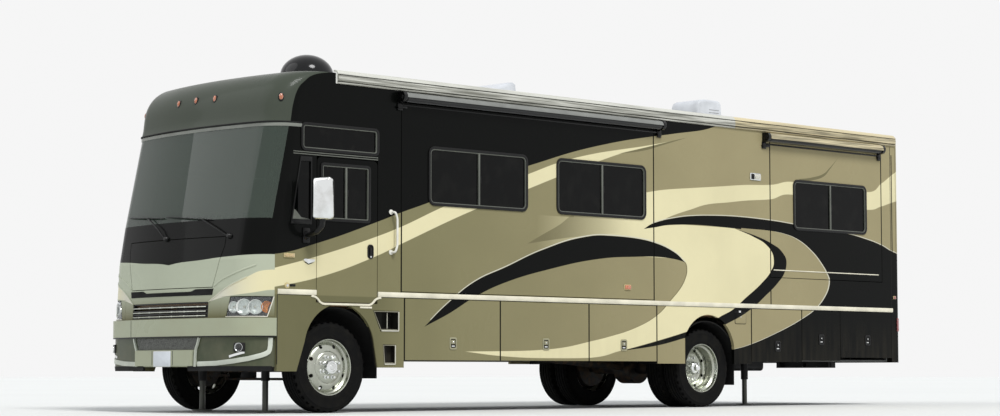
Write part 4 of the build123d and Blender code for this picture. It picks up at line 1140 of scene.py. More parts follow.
def add_disc(bm, profile, centre, side, look, hole_ring, nut_out, nut_ring):
    """A wheel disc with its hand holes cut through, its nuts and their washers."""
    disc = bmesh.new()
    spun(disc, profile, centre, (side, 0, 0), 64, closed=True)
    holes = bmesh.new()
    for i in range(look.hand_holes):
        angle = 2 * pi * (i + 0.5 * (side > 0)) / look.hand_holes
        spot = (centre[0], centre[1] + hole_ring * sin(angle), centre[2] + hole_ring * cos(angle))
        barrel(holes, spot, 0.021, 0.4, 16)
    join(bm, carve(disc, holes))
    for i in range(look.nuts):
        angle = 2 * pi * (i + 0.5) / look.nuts
        y, z = centre[1] + nut_ring * sin(angle), centre[2] + nut_ring * cos(angle)
        barrel(bm, (centre[0] + side * (nut_out + 0.004), y, z), 0.021, 0.012, 20, 0.002, 1)
        barrel(bm, (centre[0] + side * (nut_out + 0.026), y, z), 0.0155, 0.042, 6, 0.004, 1)


class Wheels(bpy.types.Operator):
    """Build the tyres, polished discs, nuts and hubs"""

    bl_idname = "motorhome.wheels"
    bl_label = "Wheels"

    def execute(self, context):
        look = context.scene.motorhome_wheels
        metals = [polished("wheel_disc", 178, 181, 170, 0.2), chrome(), cast("drum_iron", 52, 50, 48)]
        for side, hand in ((1, "left"), (-1, "right")):
            outward = (side, 0, 0)
            centre = (side * WHEEL_X, AXLE_Y, WHEEL_Z)
            body = f"front_{hand}_wheel"
            bm = bmesh.new()
            add_tyre(bm, centre, side, look)
            add_piece(f"front_{hand}_tyre_tread", bm, body, [rubber()], [f"front_{hand}_tyre"], 38)
            bm = bmesh.new()
            spun(bm, BARREL, centre, outward, 64, closed=True)
            add_disc(bm, FRONT_DISC, centre, side, look, 0.228, 0.095, 0.113)
            spun(bm, FRONT_HUB, centre, outward, 40, 1)
            spun(bm, FRONT_DRUM, centre, outward, 40, 2)
            add_piece(f"front_{hand}_disc", bm, body, metals, [f"front_{hand}_rim"], 34)
            near, far = ((side * x, REAR_Y, WHEEL_Z) for x in TWIN_X)
            body = f"rear_{hand}_wheel"
            bm = bmesh.new()
            add_tyre(bm, near, side, look)
            add_tyre(bm, far, side, look)
            add_piece(f"rear_{hand}_tyre_treads", bm, body, [rubber()], [f"rear_{hand}_tyres"], 38)
            bm = bmesh.new()
            spun(bm, BARREL, near, outward, 64, closed=True)
            spun(bm, BARREL, far, outward, 64, closed=True)
            add_disc(bm, DEEP_DISC, near, side, look, 0.228, -0.099, 0.135)
            spun(bm, [(-out, r) for out, r in DEEP_DISC], far, outward, 48, closed=True)
            spun(bm, DEEP_HUB, near, outward, 40, 1)
            spun(bm, REAR_DRUM, far, outward, 40, 2)
            add_piece(f"rear_{hand}_discs", bm, body, metals, [f"rear_{hand}_rims"], 34)
        return {"FINISHED"}


LAMP_LOW, LAMP_HIGH = 0.98, 1.186
LAMP_INNER, LAMP_OUTER = (0.12, 0.2), (0.86, 0.985)
# Round bowls of a headlamp: share of the way along it, radius and material
LAMP_BOWLS = ((0.275, 0.058, 2), (0.475, 0.083, 2), (0.665, 0.076, 2), (0.86, 0.06, 3))
TAIL_WRAP = (
    (-0.006, -0.088), (0.008, -0.088), (0.013, -0.08), (0.013, 0.08), (0.008, 0.088), (-0.006, 0.088),
)


def lamp_place(side, inner, outer, start=0):
    """Lays u, v and a depth on the nose beside the hood. Each end is a share of the way at bottom and top."""

    def place(u, v, depth):
        z = LAMP_LOW + (LAMP_HIGH - LAMP_LOW) * v
        points = corner_outline(read_rows(NOSE_ROWS, z), 0.862, -0.802, -(start + depth))
        low = inner[0] + (inner[1] - inner[0]) * v
        high = outer[0] + (outer[1] - outer[0]) * v
        x, y = along(points, low + (high - low) * u)
        return (side * x, y, z)

    return place


def shrunk(place, edge_u, edge_v):
    return lambda u, v, depth: place(edge_u + (1 - 2 * edge_u) * u, edge_v + (1 - 2 * edge_v) * v, depth)


def bumper_corner(side, degrees, radius, z):
    """A place round the bumper's corner, at an angle from straight ahead."""
    angle = radians(degrees)
    x, y = BUMPER_CORNER_X + radius * sin(angle), AXLE_Y + BUMPER_CORNER_BACK - radius * cos(angle)
    return Vector((side * x, y, z))


class Lamps(bpy.types.Operator):
    """Build the headlamps, tail lamps, fog lamps and roof marker lamps"""

    bl_idname = "motorhome.lamps"
    bl_label = "Lamps"

    def execute(self, context):
        inner, outer = LAMP_INNER, LAMP_OUTER
        bm = bmesh.new()
        for side in (1, -1):
            box = bmesh.new()
            patch(box, lamp_place(side, inner, outer, 0.003), 18, 6, 0.034)
            hollow = bmesh.new()
            patch(hollow, shrunk(lamp_place(side, inner, outer, -0.01), 0.022, 0.055), 18, 6, 0.043)
            join(bm, carve(box, hollow))
            patch(bm, shrunk(lamp_place(side, inner, outer, -0.001), 0.016, 0.04), 22, 8, 0.004, 1)
            whole = lamp_place(side, (0, 0), (1, 1))
            for share, radius, finish in LAMP_BOWLS:
                spot = Vector(whole(share, 0.48, 0.012))
                normal = (Vector(whole(share, 0.48, 0)) - Vector(whole(share, 0.48, 0.02))).normalized()
                bowl = (
                    (-0.02, 0), (-0.016, radius * 0.45), (0, radius * 0.86), (0.008, radius * 0.93),
                    (0.008, radius), (-0.004, radius), (-0.022, radius * 0.5), (-0.026, 0),
                )
                spun(bm, bowl, spot, normal, 32, finish)
                if finish == 2:
                    spun(bm, ((-0.018, 0), (-0.018, 0.014), (-0.004, 0.012), (0.001, 0)), spot, normal, 16, 4)
            # Painted panels that fill the ends of the opening
            for ends in (
                ((0, 0), [share - 0.004 for share in inner]),
                ([share + 0.006 for share in outer], (1.0, 1.0)),
            ):
                patch(bm, lamp_place(side, *ends, -0.001), 4, 4, 0.03, 5)
            # Bright edge along the bottom and the outer end
            edge = lamp_place(side, inner, outer, -0.003)
            path = [edge(i / 16, 0.012, 0) for i in range(17)] + [edge(1.0, i / 6, 0) for i in range(1, 7)]
            swept(bm, path, strip(0.004, 0.0045), 6)
            # Tail lamp: two red lenses over a clear one, and a red wrap round the corner
            rear = REAR_WALL
            block(bm, (side * 1.062, rear - 0.045, 0.962), (side * 1.198, rear + 0.002, 1.138), 0.012)
            for low, high, proud, edge, finish in (
                (1.045, 1.126, 0.012, 0.01, 7), (0.998, 1.041, 0.01, 0.008, 7),
                (0.972, 0.994, 0.008, 0.006, 1),
            ):
                block(bm, (side * 1.074, rear - 0.025, low), (side * 1.186, rear + proud, high), edge, finish)
            path = [(side * 1.285, 5.372, 1.05)]
            for i in range(9):
                angle = i * pi / 16
                path.append((side * (1.215 + 0.07 * cos(angle)), 5.38 + 0.07 * sin(angle), 1.05))
            swept(bm, path, [(side * u, v) for u, v in TAIL_WRAP], 7)
        looks = [
            satin("lamp_housing", 14, 14, 14, 0.35, 200), lamp_glass(),
            satin("lamp_bowl", 242, 244, 240, 0.22, 300, 0.5),
            satin("amber_bowl", 236, 142, 52, 0.25, 300, 0.4), lens("bulb", 250, 246, 230), coach_paint(),
            satin("white_trim", 232, 228, 212, 0.3, 220), red_lens(),
        ]
        add_piece("lamp_units", bm, "body", looks, ["lamps"], 30)
        # Fog lamps on the bumper's corners, each over a bright strip
        bm = bmesh.new()
        bezel = ((0.006, 0), (0.006, 0.03), (0.014, 0.04), (0.02, 0.041), (0.02, 0.044), (0, 0.044), (0, 0))
        cover = ((0.008, 0), (0.008, 0.0385), (0.015, 0.036), (0.019, 0.02), (0.02, 0))
        for side in (1, -1):
            angle = radians(FOG_LAMP_DEGREES)
            normal = Vector((side * sin(angle), -cos(angle), 0))
            spot = bumper_corner(side, FOG_LAMP_DEGREES, BUMPER_ROUND, 0.672) + normal * 0.006
            turn = Matrix.Translation(spot) @ Matrix.Rotation(side * angle, 4, "Z")
            block(bm, (-0.062, -0.01, -0.046), (0.062, 0.02, 0.046), 0.01, turn=turn)
            spun(bm, bezel, spot, normal, 32, 1)
            spun(bm, cover, spot, normal, 24, 2)
            path = []
            for t in (i / 8 for i in range(9)):
                path.append(bumper_corner(side, 8 + 34 * t, BUMPER_ROUND + 0.004, 0.578 + 0.044 * t))
            swept(bm, path, strip(0.006, 0.012), 1)
        looks = [satin("lamp_housing", 28, 28, 27, 0.35, 200), chrome(), lamp_glass()]
        add_piece("fog_lamps", bm, "body", looks, smooth=30)
        # Amber marker lamps on the brow
        bm = bmesh.new()
        bezel = ((-0.012, 0), (-0.012, 0.03), (0.006, 0.03), (0.01, 0.024), (0.01, 0))
        cover = ((0.002, 0), (0.002, 0.0235), (0.014, 0.021), (0.021, 0.012), (0.023, 0))
        for x, z in ((0, 3.285), (0.325, 3.278), (-0.325, 3.278), (1.212, 3.238), (-1.212, 3.238)):
            spot = Vector(nose_point(x, z, 0, BROW_ROWS))
            aside = Vector(nose_point(x + 0.01, z, 0, BROW_ROWS)) - spot
            above = Vector(nose_point(x, z + 0.01, 0, BROW_ROWS)) - spot
            normal = aside.cross(above).normalized()
            tall = Matrix.Translation(spot) @ Matrix.Diagonal((1, 1, 1.55, 1)) @ Matrix.Translation(-spot)
            spun(bm, bezel, spot, normal, 24, turn=tall)
            spun(bm, cover, spot, normal, 24, 1, turn=tall)
        add_piece("roof_markers", bm, "body", [black_trim(), amber_lens()], smooth=40)
        return {"FINISHED"}


CREASE = (
    (-0.004, -0.012), (-0.004, 0.012), (0.001, 0.012), (0.0065, 0.002), (0.0065, -0.004), (0.001, -0.012),
)
NOSE_CREASES = (
    ((0.677, 1.136), (0.763, 1.191), (0.856, 1.245), (0.966, 1.299), (1.088, 1.347), (1.177, 1.396)),
    ((0.748, 1.296), (0.851, 1.362), (0.961, 1.4), (1.084, 1.443), (1.177, 1.482), (1.232, 1.512)),
)


class FrontTrim(bpy.types.Operator):
    """Finish the grille, hood slot, bumper trim, plate, screen strips and wipers"""

    bl_idname = "motorhome.front_trim"
    bl_label = "Front trim"

    def execute(self, context):
        dress(black_trim(), "grille")
        bm = bmesh.new()
        for z in (1.09, 1.043, 0.997):
            path = [nose_point(-0.655 + 1.31 * i / 24, z, 0.004) for i in range(25)]
            swept(bm, path, ridged(0.008, 0.006, 0.008, 0.0045))
            for x in (-0.525, -0.315, -0.105, 0.105, 0.315, 0.525):
                y = nose_y(x, read_rows(NOSE_ROWS, z))
                block(bm, (x - 0.01, y - 0.009, z - 0.0085), (x + 0.01, y + 0.009, z + 0.0085), 0.003)
        silver = polished("silver_trim", 176, 179, 170, 0.25)
        add_piece("grille_bars", bm, "body", [silver])
        # Slot under the hood's edge
        bm = bmesh.new()

        def slot_place(u, v, depth):
            x = -0.735 + 1.47 * u
            rise = min(max((abs(x) - 0.38) / 0.1, 0), 1.0)
            low, high = 1.206, 1.247 + 0.024 * rise * rise * (3 - 2 * rise)
            slant = 0.015 * (v - 0.5) * (1 if x > 0 else -1)
            return nose_point(x + slant, low + (high - low) * v, 0.003 - depth)

        patch(bm, slot_place, 60, 3, 0.012)
        add_piece("hood_slot", bm, "body", [satin("slot_black", 5, 5, 5, 0.8, 160)])
        # Raised creases that sweep from the grille to the sides
        bm = bmesh.new()
        for side in (1, -1):
            for spots in NOSE_CREASES:
                swept(bm, [nose_point(side * x, z) for x, z in walked(spots, 4)], CREASE)
        add_piece("nose_creases", bm, "body", [coach_paint()], smooth=60)
        # Bumper: dark seam along the upper edge, mesh, bright strips and a rubber lip
        bm = bmesh.new()
        thin = strip(0.006, 0.006)
        for side in (1, -1):
            points = corner_outline(BUMPER_BACK, 0, -0.78, -0.004)
            swept(bm, [(side * x, y, 0.783) for x, y in (along(points, i / 30) for i in range(31))], thin)
        seam_y = nose_y(0.637, BUMPER_BACK)
        block(bm, (-0.641, seam_y - 0.0015, 0.792), (-0.633, seam_y + 0.02, 0.966), 0.001)

        def mesh_place(u, v, depth):
            x = (-0.5 - 0.05 * v) * (1 - 2 * u)
            return (x, nose_y(x, BUMPER_BACK + 0.022) + depth, 0.652 + 0.118 * v)

        patch(bm, mesh_place, 30, 4, 0.012, 1)
        bright = ridged(0.008, 0.008, 0.012, 0.024)
        spots = ((0, 0.505), (0.3, 0.512), (0.55, 0.533), (0.72, 0.558), (0.86, 0.59), (0.93, 0.612))
        rise = [(0.95, 0.625), (0.965, 0.65), (0.972, 0.69), (0.975, 0.735), (0.976, 0.768)]
        for side in (1, -1):
            points = corner_outline(BUMPER_BACK, 0.56, -0.812, -0.022)
            path = []
            for share, z in walked(spots, 5) + rise:
                x, y = along(points, share)
                path.append((side * x, y, z))
            swept(bm, path, bright, 2)
            points = corner_outline(BUMPER_BACK, 0.4, -0.812, -0.034)
            path = [(side * x, y, 0.456) for x, y in (along(points, i / 30) for i in range(31))]
            lip = [(-0.012, -0.024), (0.008, -0.024), (0.014, 0.026), (-0.012, 0.026)]
            swept(bm, path, [(side * u, v) for u, v in lip], 3)
            down = []
            for x, z in ((0.585, 0.772), (0.565, 0.715), (0.535, 0.652), (0.525, 0.56), (0.524, 0.478)):
                down.append((side * x, nose_y(x, BUMPER_BACK + 0.02), z))
            swept(bm, bent(down, 0.012, 3), [(u * 0.8, v * 0.8) for u, v in bright], 2)
        looks = [black_trim(), mesh_screen(), satin("soft_silver", 196, 200, 186, 0.3, 240), seal()]
        add_piece("bumper_trim", bm, "body", looks, smooth=32)
        # Bare plate in its frame, between two shallow notches
        bm = bmesh.new()
        face = outline(0.305, 0.152, 0.012, 4)
        y = PLATE_Y
        plate(bm, face, 0.002, lambda u, v, h: (u, y - 0.0035 - h, PLATE_Z + v), 0.0008)
        spot = lambda u, v, h: (u, y - h, PLATE_Z + v)
        ring(bm, (0.318, 0.165, 0.014, 4), (0.29, 0.137, 0.01, 4), 0.004, spot, 0.001, 1)
        for side in (-1, 1):
            block(bm, (side * 0.128, y - 0.005, 0.618), (side * 0.14, y - 0.0005, 0.624), 0.001, 1)
        for side in (-1, 1):
            block(bm, (side * 0.181, y - 0.001, 0.492), (side * 0.189, y + 0.0155, 0.64), 0.001, 2)
        looks = [plate_white(), polished("plate_frame", 190, 192, 190, 0.3), black_trim()]
        add_piece("bare_plate", bm, "body", looks)
        # Strips above the windscreen
        bm = bmesh.new()
        shine = ridged(0.004, 0.008, 0.011, 0.017)
        for z, shape, material, rows in ((2.955, shine, 0, NOSE_ROWS), (2.984, thin, 1, BROW_ROWS)):
            points = corner_outline(read_rows(rows, z), 0, -0.47)
            half = [along(points, i / 40) for i in range(41)]
            path = [(-x, y, z) for x, y in reversed(half)][:-1] + [(x, y, z) for x, y in half]
            swept(bm, path, shape, material)
        looks = [satin("screen_strip", 132, 134, 126, 0.3, 240), seal()]
        add_piece("screen_strips", bm, "body", looks)
        # Wipers
        bm = bmesh.new()
        arms = (
            ((-0.1, 1.812), (-0.24, 1.93), (-0.5, 2.055), (-1.0, 2.085), (-0.2, 2.035)),
            ((0.905, 1.805), (0.72, 1.9), (0.5, 1.995), (0.62, 1.985), (-0.16, 2.05)),
        )
        foot = ((-0.01, 0), (-0.01, 0.03), (0.02, 0.028), (0.034, 0.018), (0.036, 0))
        for pivot, elbow, tip, start, end in arms:
            spun(bm, foot, nose_point(*pivot), (0, -1, 0.15), 24)
            arm = [nose_point(*pivot, 0.022), nose_point(*elbow, 0.046), nose_point(*tip, 0.04)]
            swept(bm, bent(arm, 0.05), [(u * 1.5, v * 0.8) for u, v in circle(0.008, 10)])
            blade = walked((start, end), 12) + [end]
            path = [nose_point(x, z, 0.017 + 0.016 * sin(pi * i / 12)) for i, (x, z) in enumerate(blade)]
            swept(bm, path, strip(0.005, 0.004))
            lip = [(-0.008, -0.0025), (0.009, -0.0025), (0.009, 0.0025), (-0.008, 0.0025)]
            swept(bm, [nose_point(x, z, 0.01) for x, z in blade], lip, 1)
        add_piece("wipers", bm, "body", [black_trim(), seal()], smooth=40)
        return {"FINISHED"}


def inset_shape(points, share):
    """The same shape, smaller, about its middle."""
    cu = sum(p[0] for p in points) / len(points)
    cv = sum(p[1] for p in points) / len(points)
    return [(cu + (u - cu) * share, cv + (v - cv) * share) for u, v in points]


def window_frame(bm, side, span, heights, corner, look, divider=None):
    """A black frame with a thin lip inside it, and a bar where two panes meet."""
    wide, depth = look.window_frame, look.frame_proud + GLASS_SUNK
    middle_y, middle_z = AXLE_Y + sum(span) / 2, sum(heights) / 2
    w, h = span[1] - span[0] + 0.016, heights[1] - heights[0] + 0.016
    inner_w, inner_h = w - 2 * wide, h - 2 * wide
    spot = wall_spot(side, middle_y, middle_z, -GLASS_SUNK)
    inner = (inner_w, inner_h, max(corner - wide, 0.01))
    ring(bm, (w, h, corner), inner, depth, spot, 0.003)
    lip = (inner_w + 0.002, inner_h + 0.002, max(corner - wide, 0.01))
    edge = (inner_w - 0.018, inner_h - 0.018, max(corner - wide - 0.009, 0.008))
    ring(bm, lip, edge, depth - 0.004, spot, 0.002, 1)
    if divider is not None:
        v = inner_h / 2 + 0.004
        u = AXLE_Y + divider - middle_y
        block(bm, spot(u - 0.012, -v, 0), spot(u + 0.012, v, depth - 0.005), 0.002, 1)
        block(bm, spot(u + 0.014, -0.035, 0), spot(u + 0.028, 0.035, depth - 0.004), 0.003)


def frame_looks():
    return [black_trim(), satin("frame_lip", 104, 106, 98, 0.3, 260)]


class Windows(bpy.types.Operator):
    """Put frames and dividers round the side windows"""

    bl_idname = "motorhome.windows"
    bl_label = "Window frames"

    def execute(self, context):
        look = context.scene.motorhome_trim
        high = WINDOW_HEIGHTS
        # Windows that move with a room or a door: side, span, heights, corner and divider of each
        for name, body, windows in (
            ("front_room_frames", "front_slide", (
                (1, (1.274, 2.747), high, 0.085, 2.012), (1, (3.216, 4.69), high, 0.085, 3.958),
            )),
            ("rear_room_frame", "rear_slide", ((1, (7.43, 8.92), high, 0.085, 8.175),)),
            ("driver_door_frame", "driver_door", ((1, (-0.213, 0.445), (1.99, 2.582), 0.045, 0.124),)),
            ("entry_door_frame", "entry_door", ((-1, (0.92, 1.38), (1.9, 2.45), 0.045, None),)),
        ):
            bm = bmesh.new()
            for side, span, heights, corner, divider in windows:
                window_frame(bm, side, span, heights, corner, look, divider)
            add_piece(name, bm, body, frame_looks(), smooth=32)
        bm = bmesh.new()
        for side, span, heights, corner, divider in (
            (1, (-0.47, 0.56), (2.705, 2.985), 0.06, None), (-1, (-0.47, 0.56), (2.705, 2.985), 0.06, None),
            (-1, (-0.3, 0.56), (1.945, 2.63), 0.05, 0.13), (-1, (2.0, 3.4), high, 0.085, 2.7),
            (-1, (4.4, 5.6), high, 0.085, 5.0), (-1, (7.2, 8.3), high, 0.085, 7.75),
        ):
            window_frame(bm, side, span, heights, corner, look, divider)
        # Slanted corner pane ahead of the driver's door, with its lower panel
        pane = [(-0.606, 1.938), (-0.334, 1.938), (-0.334, 2.638), (-0.484, 2.638)]
        spot = wall_spot(1, AXLE_Y, 0, -GLASS_SUNK)
        plate(bm, pane, 0.021, spot, 0.003, 0, inset_shape(pane, 0.86))
        panel = [(-0.585, 1.948), (-0.35, 1.948), (-0.352, 1.992), (-0.47, 2.01), (-0.535, 2.075)]
        panel.append((-0.56, 2.088))
        plate(bm, panel, 0.014, spot, 0.002, 1)
        # Drip rails over the cab doors
        for side in (1, -1):
            for z in (2.662, 2.684):
                side_block(bm, side, -0.575, 0.555, z - 0.005, z + 0.005, 0.006, 0.002, 1, 0.002)
        add_piece("wall_window_frames", bm, "body", frame_looks(), smooth=32)
        return {"FINISHED"}


def side_block(bm, side, b0, b1, z0, z1, proud, edge=0.002, material=0, sunk=0.003):
    """A rounded block on a side wall."""
    low = (side * (SIDE_X - sunk), AXLE_Y + b0, z0)
    block(bm, low, (side * (SIDE_X + proud), AXLE_Y + b1, z1), edge, material)


def stud(bm, side, b, z, profile, steps, material=0, out=0):
    """A round part spun on a side wall."""
    spun(bm, profile, (side * (SIDE_X + out), AXLE_Y + b, z), (side, 0, 0), steps, material)


def latch(bm, side, b, z):
    """A paddle latch: raised surround, folded paddle and its lock."""
    spot = wall_spot(side, AXLE_Y + b, z, -0.002)
    ring(bm, (0.105, 0.135, 0.022), (0.074, 0.096, 0.014), 0.009, spot, 0.003)
    plate(bm, outline(0.078, 0.1, 0.014), 0.003, spot, 0, 1)
    side_block(bm, side, b - 0.028, b + 0.028, z - 0.006, z + 0.036, 0.006, 0.003)
    lock = ((0, 0), (0, 0.01), (0.006, 0.009), (0.008, 0.006), (0.008, 0))
    stud(bm, side, b, z + 0.016, lock, 16, 2, 0.004)
    side_block(bm, side, b - 0.022, b + 0.022, z - 0.036, z - 0.022, 0.006, 0.002, 2)


BELT_MIDDLE, BELT_HEIGHT = 1.2395, 0.048
BELT = (
    (-0.003, -0.0265), (0.007, -0.0265), (0.011, -0.02), (0.012, 0), (0.011, 0.02), (0.007, 0.0265),
    (-0.003, 0.0265),
)
# Latches of each luggage door: side, height and places behind the front axle, and whether they are painted
LATCHES = (
    ("left_bay_door_1_latch", "left_bay_door_1", 1, 0.732, (1.63,), True),
    ("left_bay_door_2_latch", "left_bay_door_2", 1, 0.735, (3.04,), True),
    ("left_bay_door_3_latch", "left_bay_door_3", 1, 0.735, (4.31,), True),
    ("left_bay_door_4_latch", "left_bay_door_4", 1, 0.745, (7.097,), False),
    ("left_bay_door_5_latch", "left_bay_door_5", 1, 0.837, (7.963,), False),
    ("left_bay_door_6_latch", "left_bay_door_6", 1, 0.837, (8.92,), False),
    ("right_bay_door_1_latches", "right_bay_door_1", -1, 0.735, (2.2, 4.3), True),
    ("right_bay_door_2_latches", "right_bay_door_2", -1, 0.735, (7.1, 8.9), False),
)
# Markers of both sides as rows for side_block: bezel and lens of the front, middle and rear one
SIDE_LAMPS = (
    (-0.69, -0.552, 1.588, 1.632, 0.01, 0.004, 4), (-0.682, -0.56, 1.594, 1.626, 0.016, 0.005, 8),
    (4.318, 4.432, 1.382, 1.446, 0.01, 0.008, 4), (4.325, 4.425, 1.388, 1.44, 0.02, 0.01, 3),
    (9.48, 9.54, 1.388, 1.43, 0.008, 0.006, 4), (9.486, 9.534, 1.393, 1.425, 0.014, 0.006, 5),
)
PATIO_LIGHT = (
    (6.585, 6.79, 2.806, 2.896, 0.014, 0.012, 2), (6.6, 6.66, 2.816, 2.886, 0.02, 0.008, 1),
    (6.668, 6.78, 2.818, 2.884, 0.024, 0.01, 6),
)


class SideTrim(bpy.types.Operator):
    """Add the belt moulding, latches, handles, lamps and seams of the sides"""

    bl_idname = "motorhome.side_trim"
    bl_label = "Side trim"

    def execute(self, context):
        growth = context.scene.motorhome_trim.moulding / BELT_HEIGHT
        belt = [(u, v * growth) for u, v in BELT]
        bm = bmesh.new()
        for side, runs in ((1, ((-0.766, -0.268), (0.56, 9.462))), (-1, ((-0.766, 0.782), (1.518, 9.462)))):
            for start, end in runs:
                steps = max(2, int((end - start) / 0.4))
                places = [AXLE_Y + start + (end - start) * i / steps for i in range(steps + 1)]
                path = [(side * SIDE_X, y, BELT_MIDDLE) for y in places]
                swept(bm, path, [(side * u, v) for u, v in belt])
                side_block(bm, side, start, end, 1.209, 1.2135, 0.004, 0.001, 1)
        # The moulding's lower branch under the driver's door
        low = [(-0.332, 1.203), (-0.268, 1.198), (-0.2, 1.124), (0.47, 1.124), (0.538, 1.196), (0.602, 1.203)]
        path = bent([(SIDE_X, AXLE_Y + b, z) for b, z in low], 0.045, 8)
        swept(bm, path, [(u * 0.9, v * 0.42) for u, v in belt])
        side_block(bm, 1, 0.318, 0.478, 1.088, 1.108, 0.008, 0.003)
        # Seams of the body's ends
        for side in (1, -1):
            for row in (
                (9.441, 9.449, 0.56, 3.42, 0.0015, 0.0005), (9.556, 9.56, 1.27, 3.42, 0.0012, 0.0004),
                (-0.772, -0.764, 0.5, 1.205, 0.0015, 0.0005),
            ):
                side_block(bm, side, *row, 1)
        add_piece("belt_mouldings", bm, "body", [belt_white(), seal()], smooth=32)
        metals = [black_trim(), latch_well(), chrome()]
        beige_paint = satin("latch_beige", 158, 154, 126, 0.3, 240)
        # Painted shade: the well inside each body-coloured latch is a darkened taupe
        painted = [beige_paint, satin("latch_taupe", 44, 42, 32, 0.5, 200), chrome()]
        for name, door, side, z, places, beige in LATCHES:
            bm = bmesh.new()
            for b in places:
                latch(bm, side, b, z)
            add_piece(name, bm, door, painted if beige else metals, smooth=32)
        # Driver's door: oval handle
        bm = bmesh.new()
        spot = wall_spot(1, AXLE_Y + 0.457, 1.687, -0.002)
        ring(bm, (0.082, 0.15, 0.036), (0.05, 0.112, 0.022), 0.012, spot, 0.004)
        plate(bm, outline(0.054, 0.116, 0.022), 0.004, spot, 0, 1)
        side_block(bm, 1, 0.44, 0.474, 1.65, 1.73, 0.014, 0.006)
        stud(bm, 1, 0.457, 1.632, ((0, 0), (0, 0.011), (0.007, 0.01), (0.009, 0)), 20, 2, 0.006)
        add_piece("driver_door_handle", bm, "driver_door", metals, smooth=32)
        # Entry door: handle, lock and two seams
        bm = bmesh.new()
        spot = wall_spot(-1, AXLE_Y + 0.9, 1.56, -0.002)
        ring(bm, (0.11, 0.17, 0.024), (0.076, 0.13, 0.016), 0.012, spot, 0.004)
        plate(bm, outline(0.08, 0.134, 0.016), 0.004, spot, 0, 1)
        for row in (
            (0.872, 0.928, 1.57, 1.602, 0.012, 0.004, 0), (0.884, 0.916, 1.512, 1.532, 0.01, 0.003, 2),
            (0.86, 1.44, 0.7, 0.706, 0.004, 0.001, 0), (0.86, 1.44, 1.196, 1.202, 0.004, 0.001, 0),
        ):
            side_block(bm, -1, *row)
        add_piece("entry_door_handle", bm, "entry_door", metals, smooth=32)
        # Entry step: ribbed tread and a bright nose
        bm = bmesh.new()
        for i in range(9):
            x = -1.215 + 0.03 * i
            block(bm, (x, AXLE_Y + 0.85, 0.5345), (x + 0.014, AXLE_Y + 1.45, 0.5385), 0.0012)
        block(bm, (-1.2385, AXLE_Y + 0.838, 0.507), (-1.2345, AXLE_Y + 1.462, 0.533), 0.0015, 1)
        looks = [rubber(), polished("step_nose", 190, 192, 190, 0.3)]
        add_piece("entry_step_tread", bm, "entry_step", looks, smooth=32)
        # Grab handles by the doors
        bm = bmesh.new()
        foot = ((-0.003, 0), (-0.003, 0.028), (0.007, 0.026), (0.01, 0.014), (0.01, 0))
        for side, b, top, bottom in ((1, 0.76, 2.118, 1.69), (-1, 1.64, 2.1, 1.5)):
            x0, x1 = side * (SIDE_X - 0.004), side * (SIDE_X + 0.052)
            spots = (
                (x0, b - 0.02, top), (x1, b, top), (x1, b + 0.026, top - 0.07),
                (x1, b + 0.026, bottom + 0.07), (x1, b, bottom), (x0, b - 0.02, bottom),
            )
            swept(bm, bent([(x, AXLE_Y + back, z) for x, back, z in spots], 0.028), circle(0.0125, 12))
            for z in (top, bottom):
                stud(bm, side, b - 0.02, z, foot, 24)
        white = satin("handle_white", 240, 238, 228, 0.25, 240)
        add_piece("grab_handles", bm, "body", [white], smooth=40)
        bm = bmesh.new()
        for side in (1, -1):
            for row in SIDE_LAMPS:
                side_block(bm, side, *row)
        # Bright trim and a round lock ahead of the driver's door
        spot = wall_spot(1, AXLE_Y - 0.365, 1.553, -0.001)
        scoop = [(-0.078, 0.016), (-0.01, -0.022), (0.07, 0.004), (0.076, 0.026), (-0.06, 0.03)]
        plate(bm, scoop, 0.012, spot, 0.003, 2)
        plate(bm, [(-0.06, -0.004), (-0.006, -0.03), (0.06, -0.008), (0, -0.012)], 0.004, spot, 0, 1)
        bezel = ((-0.002, 0), (-0.002, 0.032), (0.008, 0.03), (0.012, 0.02), (0.012, 0))
        stud(bm, 1, -0.647, 1.302, bezel, 28, 4)
        stud(bm, 1, -0.647, 1.302, ((0.006, 0), (0.006, 0.016), (0.015, 0.014), (0.016, 0)), 20, 2)
        side_block(bm, 1, -0.622, -0.54, 1.295, 1.318, 0.01, 0.004)
        for row in PATIO_LIGHT:
            side_block(bm, 1, *row)
        # Filler hatch behind the rear wheel
        spot = wall_spot(1, AXLE_Y + 6.389, 1.088, -0.001)
        plate(bm, outline(0.212, 0.152, 0.022), 0.0035, spot, 0.001, 1)
        plate(bm, outline(0.2, 0.14, 0.018), 0.0065, spot, 0.002, 7)
        side_block(bm, 1, 6.352, 6.392, 1.152, 1.178, 0.01, 0.005, 2)
        stud(bm, 1, 6.389, 1.1, ((0, 0), (0, 0.009), (0.006, 0.008), (0.007, 0)), 16, 2, 0.004)
        looks = [
            black_trim(), latch_well(), chrome(), amber_lens(),
            satin("bezel_cream", 206, 190, 142, 0.35, 240), red_lens(), lens("clear_lens", 236, 232, 214),
            coach_paint(), lens("marker_lens", 222, 190, 122),
        ]
        add_piece("side_fittings", bm, "body", looks, smooth=32)
